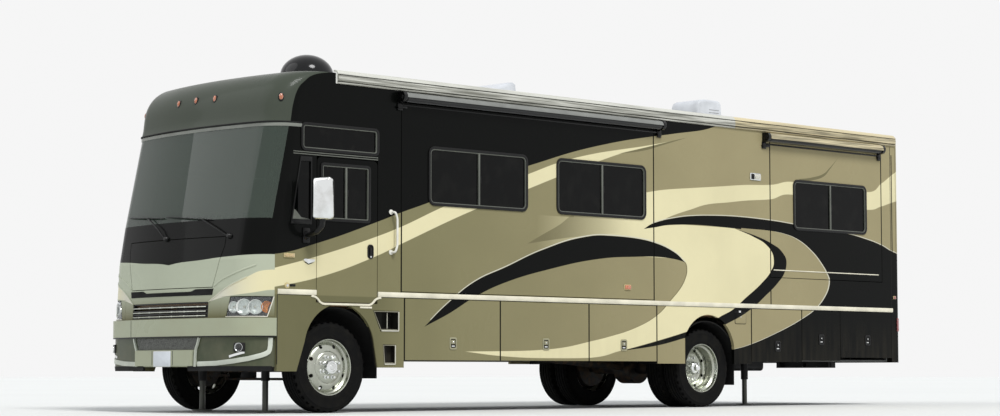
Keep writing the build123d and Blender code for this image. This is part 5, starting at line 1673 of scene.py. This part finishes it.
        # Bright rims inside the two step wells behind the front wheel
        bm = bmesh.new()
        bar = ridged(0.006, 0.004, 0.006, 0.007)
        for well in (
            ((0.512, 1.06), (0.852, 1.06), (0.852, 0.858), (0.612, 0.858)),
            ((0.643, 0.705), (0.806, 0.705), (0.806, 0.506), (0.657, 0.506)),
        ):
            front_top, back_top, back_low, front_low = ((SIDE_X, AXLE_Y + b, z) for b, z in well)
            swept(bm, [back_top, back_low], bar)
            swept(bm, [back_low, front_low], bar)
            swept(bm, [front_low, front_top, back_top], [(u * 0.6, v * 0.6) for u, v in bar], 1)
        for b, z0, z1 in ((0.735, 0.868, 1.052), (0.67, 0.516, 0.64)):
            y = AXLE_Y + b
            block(bm, (SIDE_X - 0.06, y - 0.006, z0), (SIDE_X - 0.048, y + 0.006, z1), 0.003)
        for z, b0, b1, deep in ((0.872, 0.625, 0.845, 0.11), (0.52, 0.665, 0.8, 0.042)):
            for i in range(4):
                x = SIDE_X - 0.015 - deep * i / 3
                block(bm, (x - 0.006, AXLE_Y + b0, z - 0.004), (x, AXLE_Y + b1, z + 0.003), 0.0015, 1)
        looks = [polished("well_rim", 214, 212, 198, 0.25), satin("tread_grey", 150, 146, 126, 0.5, 200)]
        add_piece("step_well_rims", bm, "body", looks, smooth=32)
        # The rear room's raised rail
        bm = bmesh.new()
        path = [(SIDE_X, AXLE_Y + 7.03 + 2.14 * i / 6, 1.7) for i in range(7)]
        swept(bm, path, ridged(0.006, 0.005, 0.007, 0.006))
        add_piece("rear_room_rail", bm, "rear_slide", [belt_white()], smooth=32)
        return {"FINISHED"}


class Mirrors(bpy.types.Operator):
    """Build both mirrors: plated head, glass, hooded bezel and curved arm"""

    bl_idname = "motorhome.mirrors"
    bl_label = "Mirrors"

    def execute(self, context):
        bm = bmesh.new()
        for side in (1, -1):
            part = bmesh.new()
            bmesh.ops.create_cube(part, size=1.0, matrix=Matrix.Diagonal((0.244, 0.096, 0.436, 1)))
            rounded(part, part.edges[:], 0.036, 6)
            for vert in part.verts:
                up = vert.co.z / 0.215
                vert.co.x *= 1 - 0.1 * up * up - 0.03 * up
                vert.co.y *= 1 - 0.1 * up * up
                if vert.co.y < 0:
                    vert.co.y -= 0.012 * (1 - (vert.co.x / 0.122) ** 2)
            head = Matrix.Translation((side * MIRROR_X, AXLE_Y + MIRROR_BACK, 2.19))
            head = head @ Matrix.Rotation(side * radians(22), 4, "Z")
            join(bm, part, turn=head)
            spot = lambda u, v, h, m=head: m @ Vector((u, 0.046 + h, v))
            ring(bm, (0.208, 0.404, 0.04), (0.188, 0.384, 0.034), 0.01, spot, 0.003, 1)
            for tall, middle in ((0.268, 0.054), (0.1, -0.136)):
                pane = outline(0.192, tall, 0.02)
                plate(bm, pane, 0.004, lambda u, v, h, up=middle: spot(u, v + up, h), 0.001, 2)
            block(bm, (-0.095, 0.046, -0.085), (0.095, 0.054, -0.081), 0.001, 1, turn=head)
            # Dark seam round the head, ahead of its middle
            seam = outline(0.2375, 0.426, 0.046)
            spot = lambda u, v, h, m=head: m @ Vector((u * (1 - 0.08 * (v / 0.21) ** 2), 0.004 + h, v))
            plate(bm, seam, 0.004, spot, 0, 1, inset_shape(seam, 0.9))
            arm = (
                (1.283, -0.405, 1.822), (1.335, -0.41, 1.822), (1.46, -0.402, 1.85), (1.535, -0.396, 1.905),
                (MIRROR_X, MIRROR_BACK, 1.99),
            )
            path = bent([(side * x, AXLE_Y + b, z) for x, b, z in arm], 0.022, 4)
            swept(bm, path, [(u * 1.5, v) for u, v in circle(0.024, 12)], 1)
            foot = ((0.004, 0), (0.004, 0.046), (0.02, 0.044), (0.036, 0.034), (0.038, 0))
            stud(bm, side, -0.405, 1.822, foot, 28, 1)
            side_block(bm, side, -0.452, -0.358, 1.742, 1.902, 0.016, 0.012, 1)
            collar = ((-0.012, 0), (-0.012, 0.03), (0.012, 0.034), (0.022, 0.026), (0.022, 0))
            spun(bm, collar, (side * MIRROR_X, AXLE_Y + MIRROR_BACK, 1.972), (0, 0, 1), 24, 1)
        looks = [chrome(), black_trim(), polished("mirror_glass", 150, 160, 160, 0.02)]
        add_piece("mirror_heads", bm, "body", looks, ["mirrors"], 40)
        return {"FINISHED"}


@kept
def gutter_skin(name, red, green, blue):
    """Roof membrane turned over the edge: pale, with dark lengthwise streaks of painted shade and painted
    reflection, heaviest on its lower side.
    """
    made = Finish(name, tone(red, green, blue), 0.5)
    # Painted shade and painted reflection: fine dark streaks, strongest low on the eave, and broad dark bands
    # running along it
    streaks = made.noise(30, 5, (1.0, 0.05, 2.0))
    reflection_streaks = made.noise(3.0, 4, (1.0, 0.25, 8.0))
    lower_shade = made.ramp(made.axes()[2], 3.53, 3.515, 0.15, 1.0)
    shaded = made.sum("MULTIPLY", made.ramp(streaks, 0.35, 0.62, 0, 0.85), lower_shade)
    colour = made.mix(shaded, tone(red, green, blue), tone(red * 0.45, green * 0.45, blue * 0.42))
    colour = made.mix(made.ramp(reflection_streaks, 0.5, 0.72, 0, 0.4), colour, tone(88, 86, 76))
    made.set("Base Color", colour)
    made.bump(made.noise(60, 3), 0.0006, 0.4)
    return made.material


# Sections along the roof's edge: distance from the middle, or out from the wall for the eave, and height
EAVE = (
    (-0.01, 3.428), (0.014, 3.428), (0.02, 3.434), (0.02, 3.446), (0.008, 3.45), (0.008, 3.455),
    (0.024, 3.46), (0.027, 3.49), (0.023, 3.518), (0.014, 3.522), (0.014, 3.527), (0.02, 3.532),
    (0.012, 3.552), (-0.01, 3.572), (-0.06, 3.582), (-0.06, 3.56), (-0.012, 3.552),
)
FRONT_COVER = (
    (1.287, 3.408), (1.34, 3.412), (1.378, 3.398), (1.396, 3.37), (1.396, 3.352), (1.391, 3.352),
    (1.39, 3.368), (1.374, 3.392), (1.339, 3.406), (1.287, 3.402),
)
REAR_COVER = (
    (1.287, 3.412), (1.345, 3.414), (1.384, 3.398), (1.4, 3.364), (1.4, 3.338), (1.394, 3.338),
    (1.393, 3.364), (1.379, 3.392), (1.344, 3.407), (1.287, 3.406),
)
COVER_END = (
    (1.287, 3.3), (1.33, 3.296), (1.372, 3.306), (1.396, 3.336), (1.4, 3.375), (1.38, 3.408), (1.34, 3.414),
    (1.287, 3.412),
)
AWNING_COVER = (
    (-1.287, 3.408), (-1.34, 3.408), (-1.372, 3.396), (-1.368, 3.391), (-1.339, 3.403), (-1.287, 3.403),
)


def behind_axle(start):
    """Places a section upright at a distance behind the front axle, with its depth running back."""
    return lambda u, v, h: (u, AXLE_Y + start + h, v)


class RoofLine(bpy.types.Operator):
    """Add the eaves, room covers and the awning"""

    bl_idname = "motorhome.roof_line"
    bl_label = "Roof line"

    def execute(self, context):
        pale, beige = gutter_skin("eave_white", 208, 207, 196), gutter_skin("eave_beige", 212, 198, 160)
        bm = bmesh.new()
        for side in (1, -1):
            for start, end, material in ((0, 6.3, 0), (6.3, 9.555, 1)):
                part = bmesh.new()
                rings = []
                for b in (start, start + 0.012, end - 0.012, end):
                    pull = 0.004 if b in (start, end) else 0
                    rings.append([])
                    for out, z in EAVE:
                        # The far side's rear length hangs a little lower
                        z -= 0.024 if material and z < 3.45 and side < 0 else 0
                        x = SIDE_X + out - pull
                        rings[-1].append(part.verts.new((side * x, AXLE_Y + b, z - pull * 0.5)))
                loft(bm, part, rings, material)
            # Dark seal strips in the eave's two grooves: painted shade standing for the grooves' shadow
            for low, high, out in ((3.4485, 3.456, 0.0125), (3.5205, 3.528, 0.0175)):
                side_block(bm, side, 0.004, 9.545, low, high, out, 0, 2)
        add_piece("roof_eaves", bm, "body", [pale, beige, seal()], smooth=30)
        # Covers and rollers over the rooms
        dark = satin("cover_black", 11, 11, 11, 0.25, 220)
        # Painted highlight: the front room cover's shell is a light grey metal where the real cover is black,
        # standing for the sky's reflection on its top
        highlight_shell = satin("cover_alloy", 150, 152, 148, 0.3, 220, 0.7)
        cap = ((0, 0), (0, 0.03), (0.008, 0.028), (0.012, 0.016), (0.012, 0))
        for name, body, node, start, end, cover, skin in (
            ("front_room_cover", "front_slide", "front_slide_topper", 0.88, 4.9, FRONT_COVER, highlight_shell),
            ("rear_room_cover", "rear_slide", "rear_slide_topper", 6.88, 9.17, REAR_COVER, beige),
        ):
            long = end - start
            bm = bmesh.new()
            plate(bm, cover, long, behind_axle(start), 0, 2)
            roller = ((0, 0), (0, 0.036), (0.004, 0.041), (long - 0.004, 0.041), (long, 0.036), (long, 0))
            spun(bm, roller, (ROLLER_X, AXLE_Y + start, ROLLER_Z), (0, 1, 0), 28, 1)
            # Wound edge of the cloth on the roller
            cloth = ((0.02, 0), (0.02, 0.0435), (long - 0.02, 0.0435), (long - 0.02, 0))
            spun(bm, cloth, (ROLLER_X, AXLE_Y + start, 3.3505), (0, 1, 0), 28, 3)
            for b, facing in ((start, -1), (end, 1)):
                y = AXLE_Y + b
                back = min(b, b + facing * 0.05)
                plate(bm, COVER_END, 0.05, behind_axle(back), 0.006)
                spun(bm, cap, (ROLLER_X, y + facing * 0.05, ROLLER_Z), (0, facing, 0), 20)
                y = AXLE_Y + back
                block(bm, (1.286, y - 0.01, 3.214), (1.3, y + 0.06, 3.3), 0.004)
                block(bm, (1.286, y - 0.02, 3.236), (1.318, y + (0.11 if facing < 0 else 0.05), 3.262), 0.006)
            block(bm, (1.284, AXLE_Y + start, 3.266), (1.294, AXLE_Y + end, 3.286), 0.003)
            looks = [
                dark, satin("roller_dark", 16, 16, 16, 0.5, 200), skin, fabric("topper_cloth", 13, 13, 13),
            ]
            add_piece(name, bm, body, looks, [node])
        # Patio awning on the far side
        start, end = AWNING_BACK
        bm = bmesh.new()
        roll = ((0, 0), (0, 0.05), (0.01, 0.054), (5.19, 0.054), (5.2, 0.05), (5.2, 0))
        spun(bm, roll, (-ROLLER_X, AXLE_Y + start, 3.35), (0, 1, 0), 32)
        plate(bm, AWNING_COVER, 5.2, behind_axle(start))
        cap = ((-0.006, 0), (-0.006, 0.056), (0.018, 0.056), (0.024, 0.046), (0.024, 0))
        for b, facing in ((start, -1), (end, 1)):
            spun(bm, cap, (-ROLLER_X, AXLE_Y + b, 3.35), (0, facing, 0), 28, 1)
            y = AXLE_Y + b - facing * 0.018
            for x0, x1, half, z0, z1, material in (
                (-1.304, -1.288, 0.024, 1.31, 3.372, 1), (-1.324, -1.306, 0.018, 1.36, 3.34, 2),
                (-1.345, -1.3, 0.014, 3.322, 3.352, 1),
            ):
                block(bm, (x0, y - half, z0), (x1, y + half, z1), 0.004, material)
            for z in (1.325, 1.9, 2.6, 3.2):
                bolt = ((-0.004, 0), (-0.004, 0.012), (0.006, 0.011), (0.01, 0))
                spun(bm, bolt, (-1.322, y, z), (-1, 0, 0), 14, 1)
        looks = [fabric("awning_cloth", 126, 117, 90), dark, polished("awning_arm", 188, 190, 188, 0.3)]
        add_piece("awning_roll", bm, "body", looks, ["patio_awning"])
        return {"FINISHED"}


# Side views of the air conditioner and the vent cover: distance behind their middle, height
COOLER = (
    (-0.5, 3.572), (-0.5, 3.604), (-0.47, 3.62), (0.08, 3.738), (0.36, 3.834), (0.435, 3.842), (0.478, 3.822),
    (0.49, 3.7), (0.5, 3.59), (0.5, 3.572),
)
VENT = (
    (-0.238, 3.572), (-0.238, 3.8), (-0.23, 3.862), (-0.208, 3.906), (-0.16, 3.932), (-0.08, 3.942),
    (0.15, 3.944), (0.205, 3.932), (0.226, 3.89), (0.238, 3.6), (0.238, 3.572),
)


class RoofUnits(bpy.types.Operator):
    """Build the satellite dome, the air conditioner and the vent cover"""

    bl_idname = "motorhome.roof_units"
    bl_label = "Roof units"

    def execute(self, context):
        bm = bmesh.new()
        dome_x, dome_y = DOME_X, AXLE_Y + DOME_BACK
        profile = [
            (-0.004, 0), (-0.004, 0.286), (0.004, 0.294), (0.012, 0.294), (0.016, 0.289), (0.05, 0.289),
            (0.056, 0.293),
        ]
        profile += [(0.062 + 0.236 * sin(radians(a)), 0.293 * cos(radians(a))) for a in range(0, 91, 9)]
        spun(bm, profile, (dome_x, dome_y, 3.57), (0, 0, 1), 64)
        screw = ((-0.004, 0), (-0.004, 0.007), (0.004, 0.006), (0.005, 0))
        for i in range(8):
            a = 2 * pi * (i + 0.5) / 8
            spot = (dome_x + 0.292 * cos(a), dome_y + 0.292 * sin(a), 3.602)
            spun(bm, screw, spot, (cos(a), sin(a), 0), 10, 1)
        for a in (35, 155, 275):
            x, y = dome_x + 0.291 * cos(radians(a)), dome_y + 0.291 * sin(radians(a))
            block(bm, (x - 0.016, y - 0.016, 3.566), (x + 0.016, y + 0.016, 3.584), 0.004, 1)
        looks = [satin("dome_black", 22, 23, 24, 0.12, 40), black_trim()]
        add_piece("satellite_dome", bm, "body", looks, ["roof_units"], 40)
        # The air conditioner's wedge and the taller vent cover, both pushed out across the roof
        bm = bmesh.new()
        for middle, half, soft, shape in ((3.014, 0.335, 0.045, COOLER), (7.04, 0.238, 0.036, VENT)):
            part = bmesh.new()
            face = part.faces.new([part.verts.new((-half, AXLE_Y + middle + u, v)) for u, v in shape])
            pushed = bmesh.ops.extrude_face_region(part, geom=[face])["geom"]
            moved = [g for g in pushed if isinstance(g, bmesh.types.BMVert)]
            bmesh.ops.translate(part, verts=moved, vec=(2 * half, 0, 0))
            ends = [f for f in part.faces if len(f.verts) == len(shape)]
            rims = {e for f in ends for e in f.edges if min(v.co.z for v in e.verts) > 3.58}
            rounded(part, list(rims), soft, 5)
            join(bm, part)
            y = AXLE_Y + middle
            long = -shape[0][0]
            block(bm, (-half - 0.006, y - long + 0.03, 3.569), (half + 0.006, y + long - 0.002, 3.584), 0.004)
            cooler = shape is COOLER
            # Slots across the back
            for i in range(7 if cooler else 9):
                z = 3.612 + 0.028 * i
                back = y + (0.49 - 0.012 * (z > 3.7) if cooler else 0.236 - 0.01 * (z - 3.6) / 0.28)
                block(bm, (-half + 0.07, back - 0.004, z), (half - 0.07, back + 0.005, z + 0.013), 0.002, 1)
            # Upright slots in the air conditioner's sides, level lines on the vent cover's
            for x0, x1 in ((half - 0.007, half + 0.005), (-half - 0.007, -half + 0.005)):
                if cooler:
                    for i in range(9):
                        front = y + 0.02 + 0.042 * i
                        block(bm, (x0, front, 3.622), (x1, front + 0.016, 3.7), 0.003, 1)
                else:
                    for i in range(4):
                        z = 3.7 + 0.036 * i
                        block(bm, (x0 + 0.001, y - 0.02, z), (x1, y + 0.17, z + 0.01), 0.003, 2)
        looks = [
            satin("unit_white", 214, 216, 219, 0.4, 120), satin("unit_vent", 70, 71, 70, 0.7, 120),
            satin("unit_line", 176, 177, 178, 0.6, 120),
        ]
        add_piece("roof_boxes", bm, "body", looks)
        return {"FINISHED"}


def cushion(bm, low, high, crown, material=0, pull=0.03, turn=None):
    """A padded block: crowned faces, and sides that pull in between the corners."""
    low, high = Vector(low), Vector(high)
    middle, half = (low + high) / 2, (high - low) / 2
    thin = min(half)
    part = bmesh.new()
    bmesh.ops.create_cube(part, size=2.0)
    bmesh.ops.subdivide_edges(part, edges=part.edges[:], cuts=11, use_grid_fill=True)
    bmesh.ops.smooth_vert(
        part, verts=part.verts[:], factor=0.5, use_axis_x=True, use_axis_y=True, use_axis_z=True
    )
    for vert in part.verts:
        p = vert.co.copy()
        for i in range(3):
            j, k = (i + 1) % 3, (i + 2) % 3
            full = (1 - abs(p[j]) ** 2.6) * (1 - abs(p[k]) ** 2.6)
            swell = crown if half[i] == thin else crown * 0.5
            vert.co[i] = middle[i] + p[i] * (half[i] - swell) * (1 - pull * (1 - abs(p[j])) * abs(p[k]) ** 3)
            vert.co[i] += (1 if p[i] > 0 else -1) * abs(p[i]) ** 2 * swell * max(full, 0)
    join(bm, part, material, turn)


class CabSeats(bpy.types.Operator):
    """Build the two cab seats from padded cushions"""

    bl_idname = "motorhome.cab_seats"
    bl_label = "Cab seats"

    def execute(self, context):
        hide, piping = leather("seat_leather", 178, 162, 128), fabric("seat_piping", 96, 84, 62)
        front = SEAT_FRONT
        # The back leans about the rear edge of the cushion
        hinge = Matrix.Translation((0, front + 0.48, 1.66))
        lean = hinge @ Matrix.Rotation(radians(-9), 4, "X") @ hinge.inverted()
        pedestal = (
            (0, 0), (0, 0.15), (0.04, 0.13), (0.1, 0.085), (0.28, 0.085), (0.32, 0.14), (0.34, 0.16),
            (0.36, 0),
        )
        for x, hand, replaced in ((SEAT_X, "driver", ["cab_seats"]), (-SEAT_X, "passenger", ())):
            bm = bmesh.new()
            cushion(bm, (x - 0.245, front, 1.545), (x + 0.245, front + 0.48, 1.675), 0.022)
            for sway in (-0.218, 0.218):
                cushion(bm, (x + sway - 0.04, front + 0.02, 1.6), (x + sway + 0.04, front + 0.46, 1.7), 0.012)
            seam = outline(0.36, 0.36, 0.05)
            path = [(x + u, front + 0.22 + v, 1.6705 + 0.004 * (1 - (u / 0.2) ** 2)) for u, v in seam]
            swept(bm, path + [path[0]], circle(0.0035, 8), 1)
            base = add_piece(f"{hand}_seat_cushion", bm, "body", [hide, piping], replaced, 60)
            bm = bmesh.new()
            low, high = (x - 0.235, front + 0.385, 1.65), (x + 0.235, front + 0.495, 2.03)
            cushion(bm, low, high, 0.02, 0, 0.04, lean)
            for sway in (-0.205, 0.205):
                low, high = (x + sway - 0.036, front + 0.36, 1.68), (x + sway + 0.036, front + 0.47, 1.99)
                cushion(bm, low, high, 0.01, 0, 0.03, lean)
            low, high = (x - 0.13, front + 0.4, 2.04), (x + 0.13, front + 0.49, 2.225)
            cushion(bm, low, high, 0.018, 0, 0.05, lean)
            for z in (1.76, 1.87):
                path = []
                for u in (i / 4 for i in range(-4, 5)):
                    path.append(lean @ Vector((x + 0.16 * u, front + 0.372 - 0.01 * (1 - u**2), z)))
                swept(bm, path, circle(0.0035, 8), 1)
            back = add_piece(f"{hand}_seat_back", bm, "body", [hide, piping], smooth=60)
            bm = bmesh.new()
            block(bm, (x - 0.2, front + 0.06, 1.165), (x + 0.2, front + 0.42, 1.185), 0.006)
            spun(bm, pedestal, (x, front + 0.24, 1.185), (0, 0, 1), 32)
            # Armrests and their posts
            for rest in (x - 0.262, x + 0.262):
                block(bm, (rest - 0.02, front + 0.1, 1.772), (rest + 0.02, front + 0.42, 1.812), 0.014, 1, 3)
                block(bm, (rest - 0.01, front + 0.38, 1.64), (rest + 0.01, front + 0.425, 1.78), 0.005)
            looks = [satin("seat_base", 40, 38, 36, 0.5, 150), hide]
            add_piece(f"{hand}_seat_base", bm, "body", looks)
        return {"FINISHED"}


class RearTrim(bpy.types.Operator):
    """Finish the back: mouldings, upper lamps, plate and reflectors"""

    bl_idname = "motorhome.rear_trim"
    bl_label = "Rear trim"

    def execute(self, context):
        bm = bmesh.new()
        rear = REAR_WALL
        for z, half in ((1.236, 1.24), (3.395, 1.22)):
            block(bm, (-half, rear - 0.003, z - 0.012), (half, rear + 0.006, z + 0.012), 0.003)
        for x, z in ((0, 3.455), (-0.15, 3.455), (0.15, 3.455), (-1.1, 3.44), (1.1, 3.44)):
            block(bm, (x - 0.046, rear - 0.003, z - 0.016), (x + 0.046, rear + 0.008, z + 0.016), 0.006, 1)
            block(bm, (x - 0.04, rear, z - 0.011), (x + 0.04, rear + 0.015, z + 0.011), 0.005, 2)
        spot = lambda u, v, h: (u, rear - 0.001 + h, 0.86 + v)
        ring(bm, (0.34, 0.19, 0.016, 4), (0.3, 0.15, 0.012, 4), 0.006, spot, 0.002, 1)
        plate(bm, outline(0.305, 0.155, 0.012, 4), 0.003, spot, 0.001, 3)
        reflector = ((-0.004, 0), (-0.004, 0.036), (0.006, 0.034), (0.009, 0.024), (0.009, 0))
        for x in (-1.13, 1.13):
            spun(bm, reflector, (x, rear, 0.8), (0, 1, 0), 24, 2)
        looks = [belt_white(), black_trim(), red_lens(), plate_white()]
        add_piece("rear_fittings", bm, "body", looks, smooth=32)
        return {"FINISHED"}


GROUPS = (PaintSettings, WheelSettings, TrimSettings, StageSettings)
STEPS = [
    BodyPaint, Underbody, Wheels, Lamps, FrontTrim, Windows, SideTrim, Mirrors, RoofLine, RoofUnits, CabSeats,
    RearTrim, Stage,
]


class MotorhomePanel(bpy.types.Panel):
    """Lists the steps in the 3D view's sidebar"""

    bl_idname = "VIEW3D_PT_motorhome"
    bl_label = "Motorhome"
    bl_space_type = "VIEW_3D"
    bl_region_type = "UI"
    bl_category = "Motorhome"

    def draw(self, context):
        for step in STEPS:
            self.layout.operator(step.bl_idname)


def register():
    for group in (*GROUPS, *STEPS, MotorhomePanel):
        bpy.utils.register_class(group)
    bpy.types.Scene.motorhome_paint = bpy.props.PointerProperty(type=PaintSettings)
    bpy.types.Scene.motorhome_wheels = bpy.props.PointerProperty(type=WheelSettings)
    bpy.types.Scene.motorhome_trim = bpy.props.PointerProperty(type=TrimSettings)
    bpy.types.Scene.motorhome_stage = bpy.props.PointerProperty(type=StageSettings)


def unregister():
    for name in ("motorhome_paint", "motorhome_wheels", "motorhome_trim", "motorhome_stage"):
        delattr(bpy.types.Scene, name)
    for group in reversed((*GROUPS, *STEPS, MotorhomePanel)):
        bpy.utils.unregister_class(group)


def main():
    register()
    for step in STEPS:
        group, name = step.bl_idname.split(".")
        getattr(getattr(bpy.ops, group), name)()


if __name__ == "__main__":
    main()
